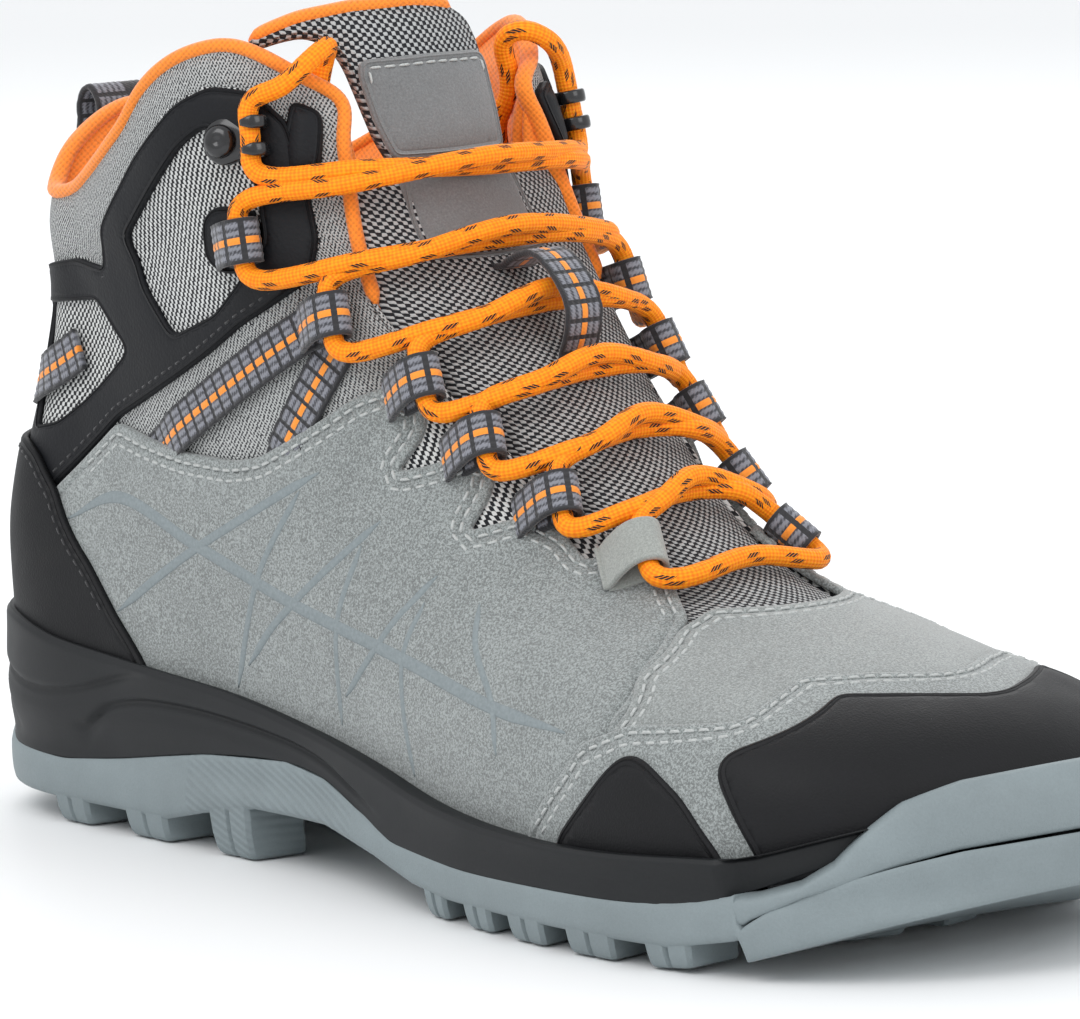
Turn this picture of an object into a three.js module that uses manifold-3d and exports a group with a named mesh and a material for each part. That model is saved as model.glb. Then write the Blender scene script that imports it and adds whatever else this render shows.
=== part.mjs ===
// Mid-height lace-up hiking boot, right foot. Millimetres, +Z up, +X to the toe, +Y to the inner ankle.
// Every layer of the upper is an offset of one last surface, trimmed by outlines drawn in side view.
import * as THREE from 'three';
import { mergeVertices } from 'three/addons/utils/BufferGeometryUtils.js';
import Module from 'manifold-3d';

const wasm = await Module();
wasm.setup();

// ---------------------------------------------------------------- driving dimensions
const GAP = 0.3;                 // clearance between neighbouring pieces
const LACE_DIAMETER = 4.2;
const WEBBING_WIDTH = 9;
const CUP_CLEARANCE = 3.7;       // the sole's cup stands this far off the last
const HINGE_Z = 138;             // the tongue bends here, above the top lace crossing
const HINGE_X = -28;
const LATERAL = -1;
const MEDIAL = 1;

// Distance of each layer of the upper from the last surface: inside, outside.
const LAYERS = {
  textile: [-1.2, 0],
  overlay: [0.35, 1.85],
  film: [0.35, 1.35],
  heelWebbing: [1.7, 2.8],
  cap: [2.15, 3.3],
  stiffener: [-2.6, -1.5],
  footLining: [-3.9, -2.9],
  padding: [-4.6, -1.5],
  collarLining: [-5.9, -4.9],
  tongue: [-5.2, -1.9],
  tonguePatch: [-1.6, -0.6],
  tongueLining: [-6.3, -5.5],
};

// The last: its back and front lines in side view as (z, x), and half widths of its level slices.
const BACK = [
  [12, -147], [30, -149], [50, -149], [70, -145], [95, -137], [120, -134], [140, -134], [185, -135],
];
const FRONT = [
  [12, 135], [30, 136], [37, 133], [43, 124], [48, 109], [52, 94], [56, 78], [62, 60], [73, 41],
  [86, 24], [99, 8], [112, -7], [125, -19], [140, -28], [155, -35], [172, -41], [185, -45],
];
const STATIONS = [0, 0.15, 0.3, 0.45, 0.6, 0.72, 0.84, 1];
const SLICE_HEIGHTS = [12, 35, 58, 85, 110, 140, 185];
// One row for each slice: heel radius, half widths at the inner stations, front radius.
const WIDTHS = {
  [LATERAL]: [
    [33, 29, 35, 36, 47, 49, 38, 38],
    [34, 30, 36, 37, 47, 49, 38, 34],
    [32, 29, 36, 37, 37, 33, 20, 22],
    [28, 26, 33, 36, 34, 28, 18, 14],
    [26, 24, 32, 36, 35, 29, 19, 14],
    [26, 24, 33, 38, 38, 31, 20, 14],
    [28, 26, 35, 40, 40, 33, 21, 14],
  ],
  [MEDIAL]: [
    [33, 28, 33, 33, 42, 44, 34, 34],
    [34, 29, 34, 35, 43, 45, 34, 30],
    [32, 28, 35, 36, 37, 33, 20, 22],
    [28, 25, 33, 36, 35, 30, 20, 16],
    [26, 23, 32, 37, 38, 34, 24, 18],
    [26, 23, 33, 40, 43, 38, 26, 20],
    [28, 25, 35, 42, 44, 39, 27, 20],
  ],
};

// ---------------------------------------------------------------- last surface
function hermite(xs, ys, x) {
  // Smooth curve through the points, with each slope taken from the points on either side.
  const last = xs.length - 1;
  const clamped = Math.min(Math.max(x, xs[0]), xs[last]);
  let i = 0;
  while (i < last - 1 && clamped > xs[i + 1]) i += 1;
  const slope = (k) => {
    const before = Math.max(k - 1, 0);
    const after = Math.min(k + 1, last);
    return (ys[after] - ys[before]) / (xs[after] - xs[before]);
  };
  const step = xs[i + 1] - xs[i];
  const t = (clamped - xs[i]) / step;
  const startPull = (t ** 3 - 2 * t * t + t) * step * slope(i);
  const endPull = (t ** 3 - t * t) * step * slope(i + 1);
  const blend = 3 * t * t - 2 * t ** 3;
  return (1 - blend) * ys[i] + blend * ys[i + 1] + startPull + endPull;
}

function along(pairs, value) {
  return hermite(pairs.map((p) => p[0]), pairs.map((p) => p[1]), value);
}

function centreLine(x) {
  // The toe swings inwards, to the other foot.
  const t = Math.min(Math.max((x + 10) / 150, 0), 1.2);
  return 7 * t ** 1.6;
}

const WIDTH_FACTORS = {};
for (const side of [LATERAL, MEDIAL]) {
  WIDTH_FACTORS[side] = WIDTHS[side].map((row, k) => {
    const halfLength = (along(FRONT, SLICE_HEIGHTS[k]) - along(BACK, SLICE_HEIGHTS[k])) / 2;
    return row.map((width, j) => {
      const isEnd = j === 0 || j === row.length - 1;
      return isEnd ? Math.sqrt(width * halfLength) : width / Math.sin(Math.PI * STATIONS[j]);
    });
  });
}

function lastPoint(theta, z, side) {
  // theta runs from 0 at the heel to 1 at the front ridge, with the length following its cosine.
  const back = along(BACK, z);
  const front = along(FRONT, z);
  const x = back + (front - back) * (1 - Math.cos(Math.PI * theta)) / 2;
  const atTheta = WIDTH_FACTORS[side].map((row) => hermite(STATIONS, row, theta));
  const width = hermite(SLICE_HEIGHTS, atTheta, z);
  return new THREE.Vector3(x, centreLine(x) + side * width * Math.sin(Math.PI * theta), z);
}

function lastNormal(theta, z, side) {
  const dTheta = 0.002;
  const dZ = 0.4;
  const forward = lastPoint(theta + dTheta, z, side).sub(lastPoint(theta - dTheta, z, side));
  const upward = lastPoint(theta, z + dZ, side).sub(lastPoint(theta, z - dZ, side));
  return forward.cross(upward).multiplyScalar(-side).normalize();
}

function offsetPoint(theta, z, side, offset) {
  return lastPoint(theta, z, side).addScaledVector(lastNormal(theta, z, side), offset);
}

function thetaAt(x, z) {
  const back = along(BACK, z);
  const share = (x - back) / (along(FRONT, z) - back);
  return Math.acos(1 - 2 * Math.min(Math.max(share, 0), 1)) / Math.PI;
}

function onLast(side, x, z, offset) {
  return offsetPoint(thetaAt(x, z), z, side, offset);
}

// ---------------------------------------------------------------- solids
function toSolid(geometry) {
  const bare = geometry.clone();
  bare.deleteAttribute('normal');
  bare.deleteAttribute('uv');
  const merged = mergeVertices(bare, 1e-4);
  const vertProperties = new Float32Array(merged.attributes.position.array);
  const triVerts = new Uint32Array(merged.index.array);
  return new wasm.Manifold(new wasm.Mesh({ numProp: 3, vertProperties, triVerts }));
}

function toGeometry(solid) {
  const { vertProperties, triVerts } = solid.getMesh();
  const geometry = new THREE.BufferGeometry();
  geometry.setAttribute('position', new THREE.BufferAttribute(vertProperties, 3));
  geometry.setIndex(new THREE.BufferAttribute(triVerts, 1));
  geometry.computeVertexNormals();
  return geometry;
}

function loftSolid(levels, pointAt, stepsPerSide = 12) {
  // Closed rings stacked one on another: down the outer side to the toe and back up the inner side.
  const ring = 2 * stepsPerSide;
  const positions = [];
  for (const level of levels) {
    for (let i = 0; i < ring; i += 1) {
      const side = i <= stepsPerSide ? LATERAL : MEDIAL;
      const theta = (side === LATERAL ? i : ring - i) / stepsPerSide;
      positions.push(...pointAt(theta, level, side).toArray());
    }
  }
  const index = [];
  const topStart = (levels.length - 1) * ring;
  for (let k = 0; k < levels.length - 1; k += 1) {
    for (let i = 0; i < ring; i += 1) {
      const a = k * ring + i;
      const b = k * ring + (i + 1) % ring;
      index.push(a, b, b + ring, a, b + ring, a + ring);
    }
  }
  for (let i = 0; i < stepsPerSide; i += 1) {
    const a = i;
    const b = i + 1;
    const c = (ring - i - 1) % ring;
    const d = (ring - i) % ring;
    if (b !== c) {
      index.push(a, c, b, topStart + a, topStart + b, topStart + c);
    }
    if (a !== d) {
      index.push(a, d, c, topStart + a, topStart + c, topStart + d);
    }
  }
  const geometry = new THREE.BufferGeometry();
  geometry.setAttribute('position', new THREE.Float32BufferAttribute(positions, 3));
  geometry.setIndex(index);
  return toSolid(geometry);
}

const LEVELS = [9, 23, 34, 42, 49, 56, 65, 77, 92, 108, 124, 141, 158, 178];
const lastSolids = new Map();
function lastSolid(offset) {
  if (!lastSolids.has(offset)) {
    lastSolids.set(offset, loftSolid(LEVELS, (theta, z, side) => offsetPoint(theta, z, side, offset)));
  }
  return lastSolids.get(offset);
}

function layer([inside, outside]) {
  return lastSolid(outside).subtract(lastSolid(inside));
}

function outline(points, holes = []) {
  const shape = new THREE.Shape(points.map(([x, y]) => new THREE.Vector2(x, y)));
  for (const hole of holes) {
    shape.holes.push(new THREE.Path(hole.map(([x, y]) => new THREE.Vector2(x, y))));
  }
  return shape;
}

function sidePrism(points, holes = [], from = -90, to = 90) {
  // A side-view outline, (x, z), carried across the boot from y = from to y = to.
  const settings = { depth: to - from, bevelEnabled: false, curveSegments: 6 };
  const geometry = new THREE.ExtrudeGeometry(outline(points, holes), settings);
  geometry.rotateX(Math.PI / 2);
  geometry.translate(0, to, 0);
  return toSolid(geometry);
}

function planPrism(points, bottom, top) {
  const settings = { depth: top - bottom, bevelEnabled: false };
  const geometry = new THREE.ExtrudeGeometry(outline(points), settings);
  geometry.translate(0, 0, bottom);
  return toSolid(geometry);
}

function raised(line, dz) {
  return line.map(([x, z]) => [x, z + dz]);
}

function between(lower, upper) {
  // The side-view band between two lines that both run from heel to toe.
  return sidePrism([...lower, ...[...upper].reverse()]);
}

function halfOf(side) {
  // Everything on one side of the swung centre line, with a hair of clearance.
  const line = [-170, -10, 30, 60, 90, 120, 170].map((x) => [x, centreLine(x) + side * GAP / 2]);
  const edge = side * 100;
  const points = side === LATERAL
    ? [[-170, edge], [170, edge], ...[...line].reverse()]
    : [...line, [170, edge], [-170, edge]];
  return planPrism(points, -10, 200);
}
const halves = { [LATERAL]: halfOf(LATERAL), [MEDIAL]: halfOf(MEDIAL) };

class PointPath extends THREE.Curve {
  // Straight steps between given points, so the tube passes exactly through them.
  constructor(points) {
    super();
    this.points = points;
  }

  getPoint(t, target = new THREE.Vector3()) {
    const place = Math.min(Math.max(t, 0), 1) * (this.points.length - 1);
    const i = Math.min(Math.floor(place), this.points.length - 2);
    return target.lerpVectors(this.points[i], this.points[i + 1], place - i);
  }

  getPointAt(u, target) {
    return this.getPoint(u, target);
  }

  getTangentAt(u, target = new THREE.Vector3()) {
    const half = 0.5 / (this.points.length - 1);
    return target.copy(this.getPoint(u + half)).sub(this.getPoint(u - half)).normalize();
  }
}

function tube(points, radius, sideCount) {
  const section = new THREE.Shape();
  for (let i = 0; i < sideCount; i += 1) {
    const angle = 2 * Math.PI * (i + 0.5) / sideCount;
    const corner = [radius * Math.cos(angle), radius * Math.sin(angle)];
    if (i === 0) section.moveTo(...corner);
    else section.lineTo(...corner);
  }
  section.closePath();
  const settings = { steps: points.length - 1, extrudePath: new PointPath(points), bevelEnabled: false };
  return toSolid(new THREE.ExtrudeGeometry(section, settings));
}

// ---------------------------------------------------------------- side-view lines, (x, z)
const CUP_FLOOR = [
  [-170, 21.5], [-80, 21], [-40, 20.5], [0, 16.5], [40, 13.5], [80, 14], [110, 18], [140, 24], [170, 30],
];
const MIDSOLE_TOP = [
  [-170, 41], [-133, 41], [-110, 37.5], [-81, 35], [-55, 33], [-29, 29.5], [-4, 26], [20, 22],
  [45, 20], [70, 20], [95, 21.5], [112, 23.5], [170, 44],
];
const OUTSOLE_TOP = [
  [-170, 21], [-148, 18], [-130, 14], [-108, 13.5], [-90, 15.5], [-61, 20], [-34, 22], [-20, 20.5],
  [-8, 16.5], [8, 12.6], [35, 11.3], [60, 11.6], [80, 12], [95, 13], [108, 16], [121, 21], [170, 41],
];
const BODY_BOTTOM = [
  [-170, 16], [-148, 9], [-132, 5], [-75, 5], [-62, 8], [-45, 11], [-20, 11.5], [0, 8.5],
  [15, 5.5], [28, 4.5], [92, 4.5], [108, 7.5], [125, 12.5], [150, 19.5], [170, 26],
];
// Inside its visible edge the outsole is thinner, and the foam fills what is left.
const OUTSOLE_CORE = [
  [-170, 12], [-70, 12], [-45, 14.3], [-15, 14.8], [8, 10.5],
  [35, 8.8], [92, 9], [110, 13], [125, 17.5], [170, 31],
];
const LUG_BOTTOM = [
  [-170, 14], [-148, 6], [-136, 2.4], [-124, 0], [88, 0], [102, 1.4], [114, 5], [150, 18.5], [170, 26],
];
const BUMPER_BOTTOM = [[97.5, 8], [112, 14.5], [130, 21.5], [170, 33]];
const BUMPER_TOP = [[97.5, 10.5], [107, 17.5], [115, 24], [123, 31], [131, 36], [170, 40]];
const THROAT = [
  [61, 57], [50, 62], [40, 68], [28, 75], [13, 84], [-1, 93.5],
  [-13, 103], [-23, 112], [-30, 124], [-35, 137], [-37.3, 143.5], [-39, 150],
];
const TOPLINE = [
  [-45, 155], [-57, 161], [-64, 160], [-71, 157], [-79, 151.5], [-88, 143], [-102, 134], [-114, 128.5],
  [-124, 128], [-130, 136], [-133, 142], [-170, 142],
];
const QUARTER_TOP = [
  [-119, 65], [-95, 83], [-84, 81], [-70, 79.3], [-56, 79], [-47, 80.5], [-36, 86], [-23, 94], [-15, 97],
  [-6.5, 94], [-4.5, 89], [-8, 80.5], [-1, 82.5], [4, 85.5], [10, 84], [11.5, 79], [12, 70.5], [19, 74],
  [28, 70.5], [35, 67], [37.5, 70.5], [42, 69.5], [50, 62.5], [57, 58.5],
];
const VAMP_SEAM = [[62, 55.5], [67, 50], [68.5, 43.5]];
const RAND_TOP = [
  [46, 10], [46, 21], [53, 30], [60, 37.5], [71, 41.8], [84, 43.5], [90, 47], [92.5, 54], [93, 80],
];
const CAP_EDGE = [[106, 10], [105, 22], [98, 35], [94.5, 40], [98, 44], [101, 48], [103, 80]];
const GUARD = [
  [55, 10], [56, 20], [65, 30.5], [70, 35], [74.5, 37], [80, 35.5], [88, 30.5], [98, 22], [100, 10],
];
const HEEL_BAND = [[-170, 72], [-128, 82.5], [-107, 93], [-111, 101], [-130, 92], [-170, 81]];
const STIFFENER_EDGE = [[-170, 22], [-92, 22], [-92, 45], [-118, 72], [-170, 72]];
const TOE_PUFF_EDGE = [[99, 24], [170, 32], [170, 60], [99, 60]];
const COUNTER_EDGE = [
  [-84, 5], [-84, 33], [-93, 44], [-102, 54], [-114, 67.5], [-121, 74], [-126, 76], [-170, 77],
];
const FRAME_OUTER = [
  [-119, 66], [-95, 84], [-53, 106], [-36.5, 116], [-36.5, 124], [-40, 134], [-45, 146], [-52, 152],
  [-60, 153], [-67, 149.5], [-80, 138], [-95, 123.5], [-98, 114], [-110, 115], [-126, 112], [-170, 110],
  [-170, 66],
];
const MAIN_WINDOW = [
  [-42, 121], [-46, 133], [-54, 145], [-60, 147], [-66, 143], [-88, 122], [-84, 111], [-74, 101.5], [-60, 106],
];
const REAR_WINDOW = [[-103, 107], [-89, 98.5], [-106, 87.5], [-117, 80], [-127, 80], [-128, 105]];

// ---------------------------------------------------------------- scene
const boot = new THREE.Group();
const FINISHES = {
  rubber: { color: 0x87939a, roughness: 0.75, metalness: 0 },
  foam: { color: 0x1f2022, roughness: 0.8, metalness: 0 },
  suede: { color: 0x8f9491, roughness: 0.95, metalness: 0 },
  film: { color: 0x2a2b2d, roughness: 0.55, metalness: 0 },
  textile: { color: 0x6d6f72, roughness: 0.95, metalness: 0 },
  lining: { color: 0xff8412, roughness: 0.9, metalness: 0 },
  lace: { color: 0xff8f10, roughness: 0.8, metalness: 0 },
  webbing: { color: 0x5d6068, roughness: 0.9, metalness: 0 },
  board: { color: 0xb9b2a4, roughness: 0.9, metalness: 0 },
  steel: { color: 0x9a9da0, roughness: 0.35, metalness: 1 },
  hook: { color: 0x151515, roughness: 0.4, metalness: 0.6 },
};
const materials = {};
for (const [name, finish] of Object.entries(FINISHES)) {
  materials[name] = new THREE.MeshStandardMaterial({ name, ...finish });
}

function addPiece(name, solid, finish) {
  const mesh = new THREE.Mesh(toGeometry(solid), materials[finish].clone());
  mesh.name = name;
  boot.add(mesh);
}

const sideName = { [LATERAL]: 'lateral', [MEDIAL]: 'medial' };
const sides = [LATERAL, MEDIAL];

// ---------------------------------------------------------------- sole
const SOLE_LEVELS = [-1, 3, 8, 12, 16, 22, 30, 37, 44];
const SOLE_PROFILE = [[-1, -1], [4, 0.4], [12, 1.1], [16, 0.2], [22, 0.5], [30, 0.2], [37, -0.3], [44, -0.6]];
const HEEL_FLARE = 5.2;
const FOREFOOT_EXTRA = 1.8;
const BUMPER_OFFSET = 8.2;       // the toe bumper's outer face, off the last
function soleFlare(theta, z) {
  // How far the sole stands out from the last: more at the forefoot than at the heel.
  const t = Math.min(Math.max((theta - 0.4) / 0.25, 0), 1);
  return HEEL_FLARE + FOREFOOT_EXTRA * t * t * (3 - 2 * t) + along(SOLE_PROFILE, z);
}
const soleBlank = loftSolid(SOLE_LEVELS, (theta, z, side) => {
  const point = lastPoint(theta, z, side);
  const normal = lastNormal(theta, z, side).setZ(0).normalize();
  return point.addScaledVector(normal, soleFlare(theta, z));
});
const cup = lastSolid(CUP_CLEARANCE).intersect(between(CUP_FLOOR, raised(CUP_FLOOR, 60)));
const bumperZone = between(BUMPER_BOTTOM, BUMPER_TOP);
const bumperClearance = between(
  BUMPER_BOTTOM.map(([x, z]) => [x - 2 * GAP, z - GAP]),
  BUMPER_TOP.map(([x, z]) => [x - 2 * GAP, z + 30]),
).subtract(lastSolid(CUP_CLEARANCE - GAP));

// A flat steel strip let into the top of the foam, under the board.
const SHANK = { back: -72, front: 32, halfWidth: 11, thickness: 2 };
function shankSolid(grow, top) {
  const [back, front, half] = [SHANK.back - grow, SHANK.front + grow, SHANK.halfWidth + grow];
  return planPrism([[back, -half], [front, -half], [front, half], [back, half]], 5, 40)
    .intersect(between(raised(CUP_FLOOR, -SHANK.thickness - grow), raised(CUP_FLOOR, top)));
}
const shankPocket = shankSolid(GAP, 5);
const shank = shankSolid(0, -GAP);

const LUG_BLOCK = { height: 9, middle: 3.5 };
function lugBlock(x, y, { length, width, turn = 0 }) {
  const geometry = new THREE.BoxGeometry(length, width, LUG_BLOCK.height);
  geometry.rotateZ(turn);
  geometry.translate(x, y, LUG_BLOCK.middle);
  return toSolid(geometry);
}

// Edge lugs follow the outline; the inner ones sit in two rows.
const FOREFOOT_LUGS = [23, 36, 49, 62, 75, 88];
const HEEL_LUGS = [-128, -112, -96, -80];
const LUG_DEPTH = 17;
const EDGE_LUG_TURN = 0.12;
const FOREFOOT_LENGTH = 9;
const HEEL_LENGTH = 10;
const INNER_LUG = { forward: 3, fromCentre: 11, length: 9, width: 13, turn: 0.3 };
const HEEL_BLOCK = { x: -104, fromCentre: 8.5, length: 26, width: 9 };
const BACK_LUG = { x: -142, length: 20, width: 22 };
const TOE_PLATE_START = 99;
function edgeLug(side, x, length) {
  const edge = lastPoint(thetaAt(x, SLICE_HEIGHTS[0]), SLICE_HEIGHTS[0], side);
  return lugBlock(x, edge.y, { length, width: 2 * LUG_DEPTH, turn: -side * EDGE_LUG_TURN });
}
let tread = lugBlock(BACK_LUG.x, 0, BACK_LUG);
for (const side of sides) {
  for (const x of FOREFOOT_LUGS) {
    const y = centreLine(x) + side * INNER_LUG.fromCentre;
    tread = tread.add(edgeLug(side, x, FOREFOOT_LENGTH));
    tread = tread.add(lugBlock(x + INNER_LUG.forward, y, { ...INNER_LUG, turn: side * INNER_LUG.turn }));
  }
  for (const x of HEEL_LUGS) {
    tread = tread.add(edgeLug(side, x, HEEL_LENGTH));
  }
  tread = tread.add(lugBlock(HEEL_BLOCK.x, side * HEEL_BLOCK.fromCentre, HEEL_BLOCK));
}
const toePlate = sidePrism([[TOE_PLATE_START, 0], [170, 0], [170, 40], [TOE_PLATE_START, 40]]);
const lugs = soleBlank
  .intersect(tread.add(toePlate))
  .intersect(between(LUG_BOTTOM, raised(BODY_BOTTOM, 1)));
const core = (offset, line) => lastSolid(offset).intersect(between(line, raised(line, 60)));
const outsole = soleBlank
  .intersect(between(BODY_BOTTOM, raised(OUTSOLE_TOP, -GAP)))
  .subtract(core(CUP_CLEARANCE, OUTSOLE_CORE))
  .add(lugs)
  .subtract(bumperClearance);
const midsole = soleBlank
  .intersect(between(OUTSOLE_TOP, MIDSOLE_TOP))
  .add(core(CUP_CLEARANCE - GAP, raised(OUTSOLE_CORE, GAP)).intersect(between(BODY_BOTTOM, MIDSOLE_TOP)))
  .subtract(cup)
  .subtract(shankPocket)
  .subtract(bumperClearance);
const bumper = lastSolid(BUMPER_OFFSET)
  .intersect(bumperZone)
  .subtract(lastSolid(CUP_CLEARANCE));

addPiece('outsole', outsole, 'rubber');
addPiece('toe_bumper', bumper, 'rubber');
addPiece('midsole', midsole, 'foam');
addPiece('shank', shank, 'steel');

const BOARD_THICKNESS = 2;
const FOOTBED_THICKNESS = 4;
const BOARD_INSET = -4.2;
const FOOTBED_INSET = -4.5;
const upperBottom = raised(CUP_FLOOR, GAP);
const boardTop = raised(upperBottom, BOARD_THICKNESS);
const footbedBottom = raised(boardTop, GAP);
addPiece('insole_board', lastSolid(BOARD_INSET).intersect(between(upperBottom, boardTop)), 'board');
addPiece(
  'footbed',
  lastSolid(FOOTBED_INSET).intersect(between(footbedBottom, raised(footbedBottom, FOOTBED_THICKNESS))),
  'film',
);

// ---------------------------------------------------------------- collar binding
const BINDING_RADIUS = 1.3;
const BINDING_STANDOFF = 1.3;
const edgeLine = [...THROAT.slice(7), ...TOPLINE.slice(0, -1)];
function bindingHalf(side) {
  // Just outside the edge of the textile, in the plane of the surface.
  const edge = edgeLine.map(([x, z]) => onLast(side, x, z, 0));
  return edge.map((point, i) => {
    const next = edge[Math.min(i + 1, edge.length - 1)];
    const before = edge[Math.max(i - 1, 0)];
    const [x, z] = edgeLine[i];
    const out = next.clone().sub(before).cross(lastNormal(thetaAt(x, z), z, side)).normalize();
    return point.clone().addScaledVector(out, -side * (BINDING_RADIUS + BINDING_STANDOFF));
  });
}
const backTop = TOPLINE[TOPLINE.length - 2];
const bindingBack = onLast(LATERAL, backTop[0] - 1, backTop[1], 0);
bindingBack.z += BINDING_RADIUS + BINDING_STANDOFF;
const bindingRoute = [...bindingHalf(LATERAL), bindingBack, ...bindingHalf(MEDIAL).reverse()];
addPiece('collar_binding', tube(bindingRoute, BINDING_RADIUS, 6), 'lining');

// ---------------------------------------------------------------- upper, from the inside out
const COLLAR_FRONT_Z = 130;      // above this the front edges stand free of the tongue
function throatShifted(below, above, dz) {
  // The throat edge moved back, by one distance over the instep and another at the collar.
  return THROAT.map(([x, z]) => [x - (z > COLLAR_FRONT_Z ? above : below), z + dz]);
}
const quarterRegion = sidePrism([
  ...upperBottom, [170, 90], [61, 90], ...throatShifted(0, 0.8, 0), ...TOPLINE,
]);
const throatZone = sidePrism([
  ...throatShifted(6, 10.5, -2.5), [-49.5, 190], [67.5, 190], [67.5, 45],
]);
const belowCollar = sidePrism([...upperBottom, [170, 98], [-170, 98]]);
const collarZone = sidePrism([
  [-170, 98.5], [-5, 98.5], ...THROAT.slice(6), ...raised(TOPLINE, -0.8),
]).subtract(throatZone);

addPiece('foot_lining', layer(LAYERS.footLining).intersect(belowCollar).subtract(throatZone), 'textile');
addPiece('heel_stiffener', layer(LAYERS.stiffener).intersect(sidePrism(STIFFENER_EDGE)), 'board');
addPiece('toe_puff', layer(LAYERS.stiffener).intersect(sidePrism(TOE_PUFF_EDGE)), 'board');
addPiece('collar_padding', layer(LAYERS.padding).intersect(collarZone), 'foam');
addPiece('collar_lining', layer(LAYERS.collarLining).intersect(collarZone), 'lining');

const suedeBottom = upperBottom.filter(([x]) => x < 50).concat([[45.6, 13.6]]);
const suedeFront = [...VAMP_SEAM].reverse().map(([x, z]) => [x - GAP, z]);
const suedeOutline = [
  ...suedeBottom, [45.6, 21.3], [52.6, 30.4], [59.7, 38], [68.2, 42.3],
  ...suedeFront, ...[...QUARTER_TOP].reverse(), [-119, 40], [-170, 40],
];
const suedeRegion = sidePrism(suedeOutline);
const vampRegion = sidePrism([
  ...[...VAMP_SEAM].reverse(), [61.5, 58], [61.5, 80],
  ...[...RAND_TOP].reverse().slice(0, 5).map(([x, z]) => [x - GAP, z + GAP]),
]);
const randRegion = sidePrism([...RAND_TOP, [170, 80], [170, 24.5], [110, 18.3], [80, 14.3]]);
const capRegion = sidePrism([...CAP_EDGE, [170, 80], [170, 24.5], [110, 18.3]]);
const guardRegion = sidePrism(GUARD);
const frameRegion = sidePrism(FRAME_OUTER, [MAIN_WINDOW, REAR_WINDOW]);
const aboveCupFloor = between(upperBottom, raised(upperBottom, 190));

for (const side of sides) {
  const half = halves[side];
  const name = sideName[side];
  addPiece(
    `quarter_textile_${name}`,
    layer(LAYERS.textile).intersect(quarterRegion).intersect(half),
    'textile',
  );
  addPiece(`suede_quarter_${name}`, layer(LAYERS.overlay).intersect(suedeRegion).intersect(half), 'suede');
  addPiece(
    `side_guard_${name}`,
    layer(LAYERS.cap).intersect(guardRegion).intersect(aboveCupFloor).intersect(half),
    'film',
  );
  addPiece(`ankle_frame_${name}`, layer(LAYERS.film).intersect(frameRegion).intersect(half), 'film');
}
addPiece('vamp_suede', layer(LAYERS.overlay).intersect(vampRegion), 'suede');
addPiece('toe_rand', layer(LAYERS.overlay).intersect(randRegion).intersect(aboveCupFloor), 'suede');
addPiece('toe_cap', layer(LAYERS.cap).intersect(capRegion).intersect(aboveCupFloor), 'film');
addPiece(
  'heel_counter',
  layer(LAYERS.cap).intersect(sidePrism(COUNTER_EDGE)).intersect(aboveCupFloor),
  'film',
);

// Webbing straps that pull the ankle back, from the upper lace loop to the suede.
const STRAP_LEGS = [[[-82, 78], [-30, 109.5]], [[-41, 80], [-28, 103]]];
function strapBand([[x0, z0], [x1, z1]], half) {
  const across = new THREE.Vector2(z0 - z1, x1 - x0).setLength(half);
  return sidePrism([
    [x0 - across.x, z0 - across.y], [x1 - across.x, z1 - across.y],
    [x1 + across.x, z1 + across.y], [x0 + across.x, z0 + across.y],
  ]);
}
const straps = layer(LAYERS.film)
  .intersect(strapBand(STRAP_LEGS[0], WEBBING_WIDTH / 2).add(strapBand(STRAP_LEGS[1], WEBBING_WIDTH / 2)))
  .subtract(sidePrism(suedeOutline.map(([x, z]) => [x, z + GAP])));
for (const side of sides) {
  addPiece(`ankle_strap_${sideName[side]}`, straps.intersect(halves[side]), 'webbing');
}
addPiece('heel_webbing', layer(LAYERS.heelWebbing).intersect(sidePrism(HEEL_BAND)), 'webbing');

// ---------------------------------------------------------------- tongue
const WEDGE = Math.tan(THREE.MathUtils.degToRad(10));
const tongueBack = THROAT.slice(0, 10).map(([x, z]) => [x - 4.5, z - 1.8]);
const tongueLowerRegion = sidePrism([
  ...tongueBack, [HINGE_X - 12, HINGE_Z - 12 * WEDGE], [HINGE_X, HINGE_Z], [66, HINGE_Z], [66, 48],
]);
addPiece('tongue_lower', layer(LAYERS.tongue).intersect(tongueLowerRegion), 'textile');

function flapRegion(bottom, halfWidth, top, corner) {
  // The free end of the tongue, with its top corners cut off.
  const geometry = new THREE.ExtrudeGeometry(outline([
    [-halfWidth, bottom], [halfWidth, bottom], [halfWidth, top - corner],
    [halfWidth - corner, top], [corner - halfWidth, top], [-halfWidth, top - corner],
  ]), { depth: 70, bevelEnabled: false });
  geometry.rotateX(Math.PI / 2);
  geometry.rotateZ(Math.PI / 2);
  geometry.translate(-70, 0, 0);
  return toSolid(geometry);
}
const FLAP_BOTTOM = HINGE_Z + GAP;
const FLAP_TOP = 171;
const PATCH_TOP = 158;
const topFlap = flapRegion(FLAP_BOTTOM, 15, FLAP_TOP, 7);
const patchFlap = flapRegion(FLAP_BOTTOM, 14, PATCH_TOP, 2);
const liningFlap = flapRegion(FLAP_BOTTOM, 14, FLAP_TOP - 1, 7);
addPiece('tongue_top', layer(LAYERS.tongue).intersect(topFlap), 'textile');
addPiece('tongue_patch', layer(LAYERS.tonguePatch).intersect(patchFlap), 'suede');
addPiece('tongue_lining', layer(LAYERS.tongueLining).intersect(liningFlap), 'lining');

function ridge(z, offset) {
  return offsetPoint(1, z, LATERAL, offset);
}
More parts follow.
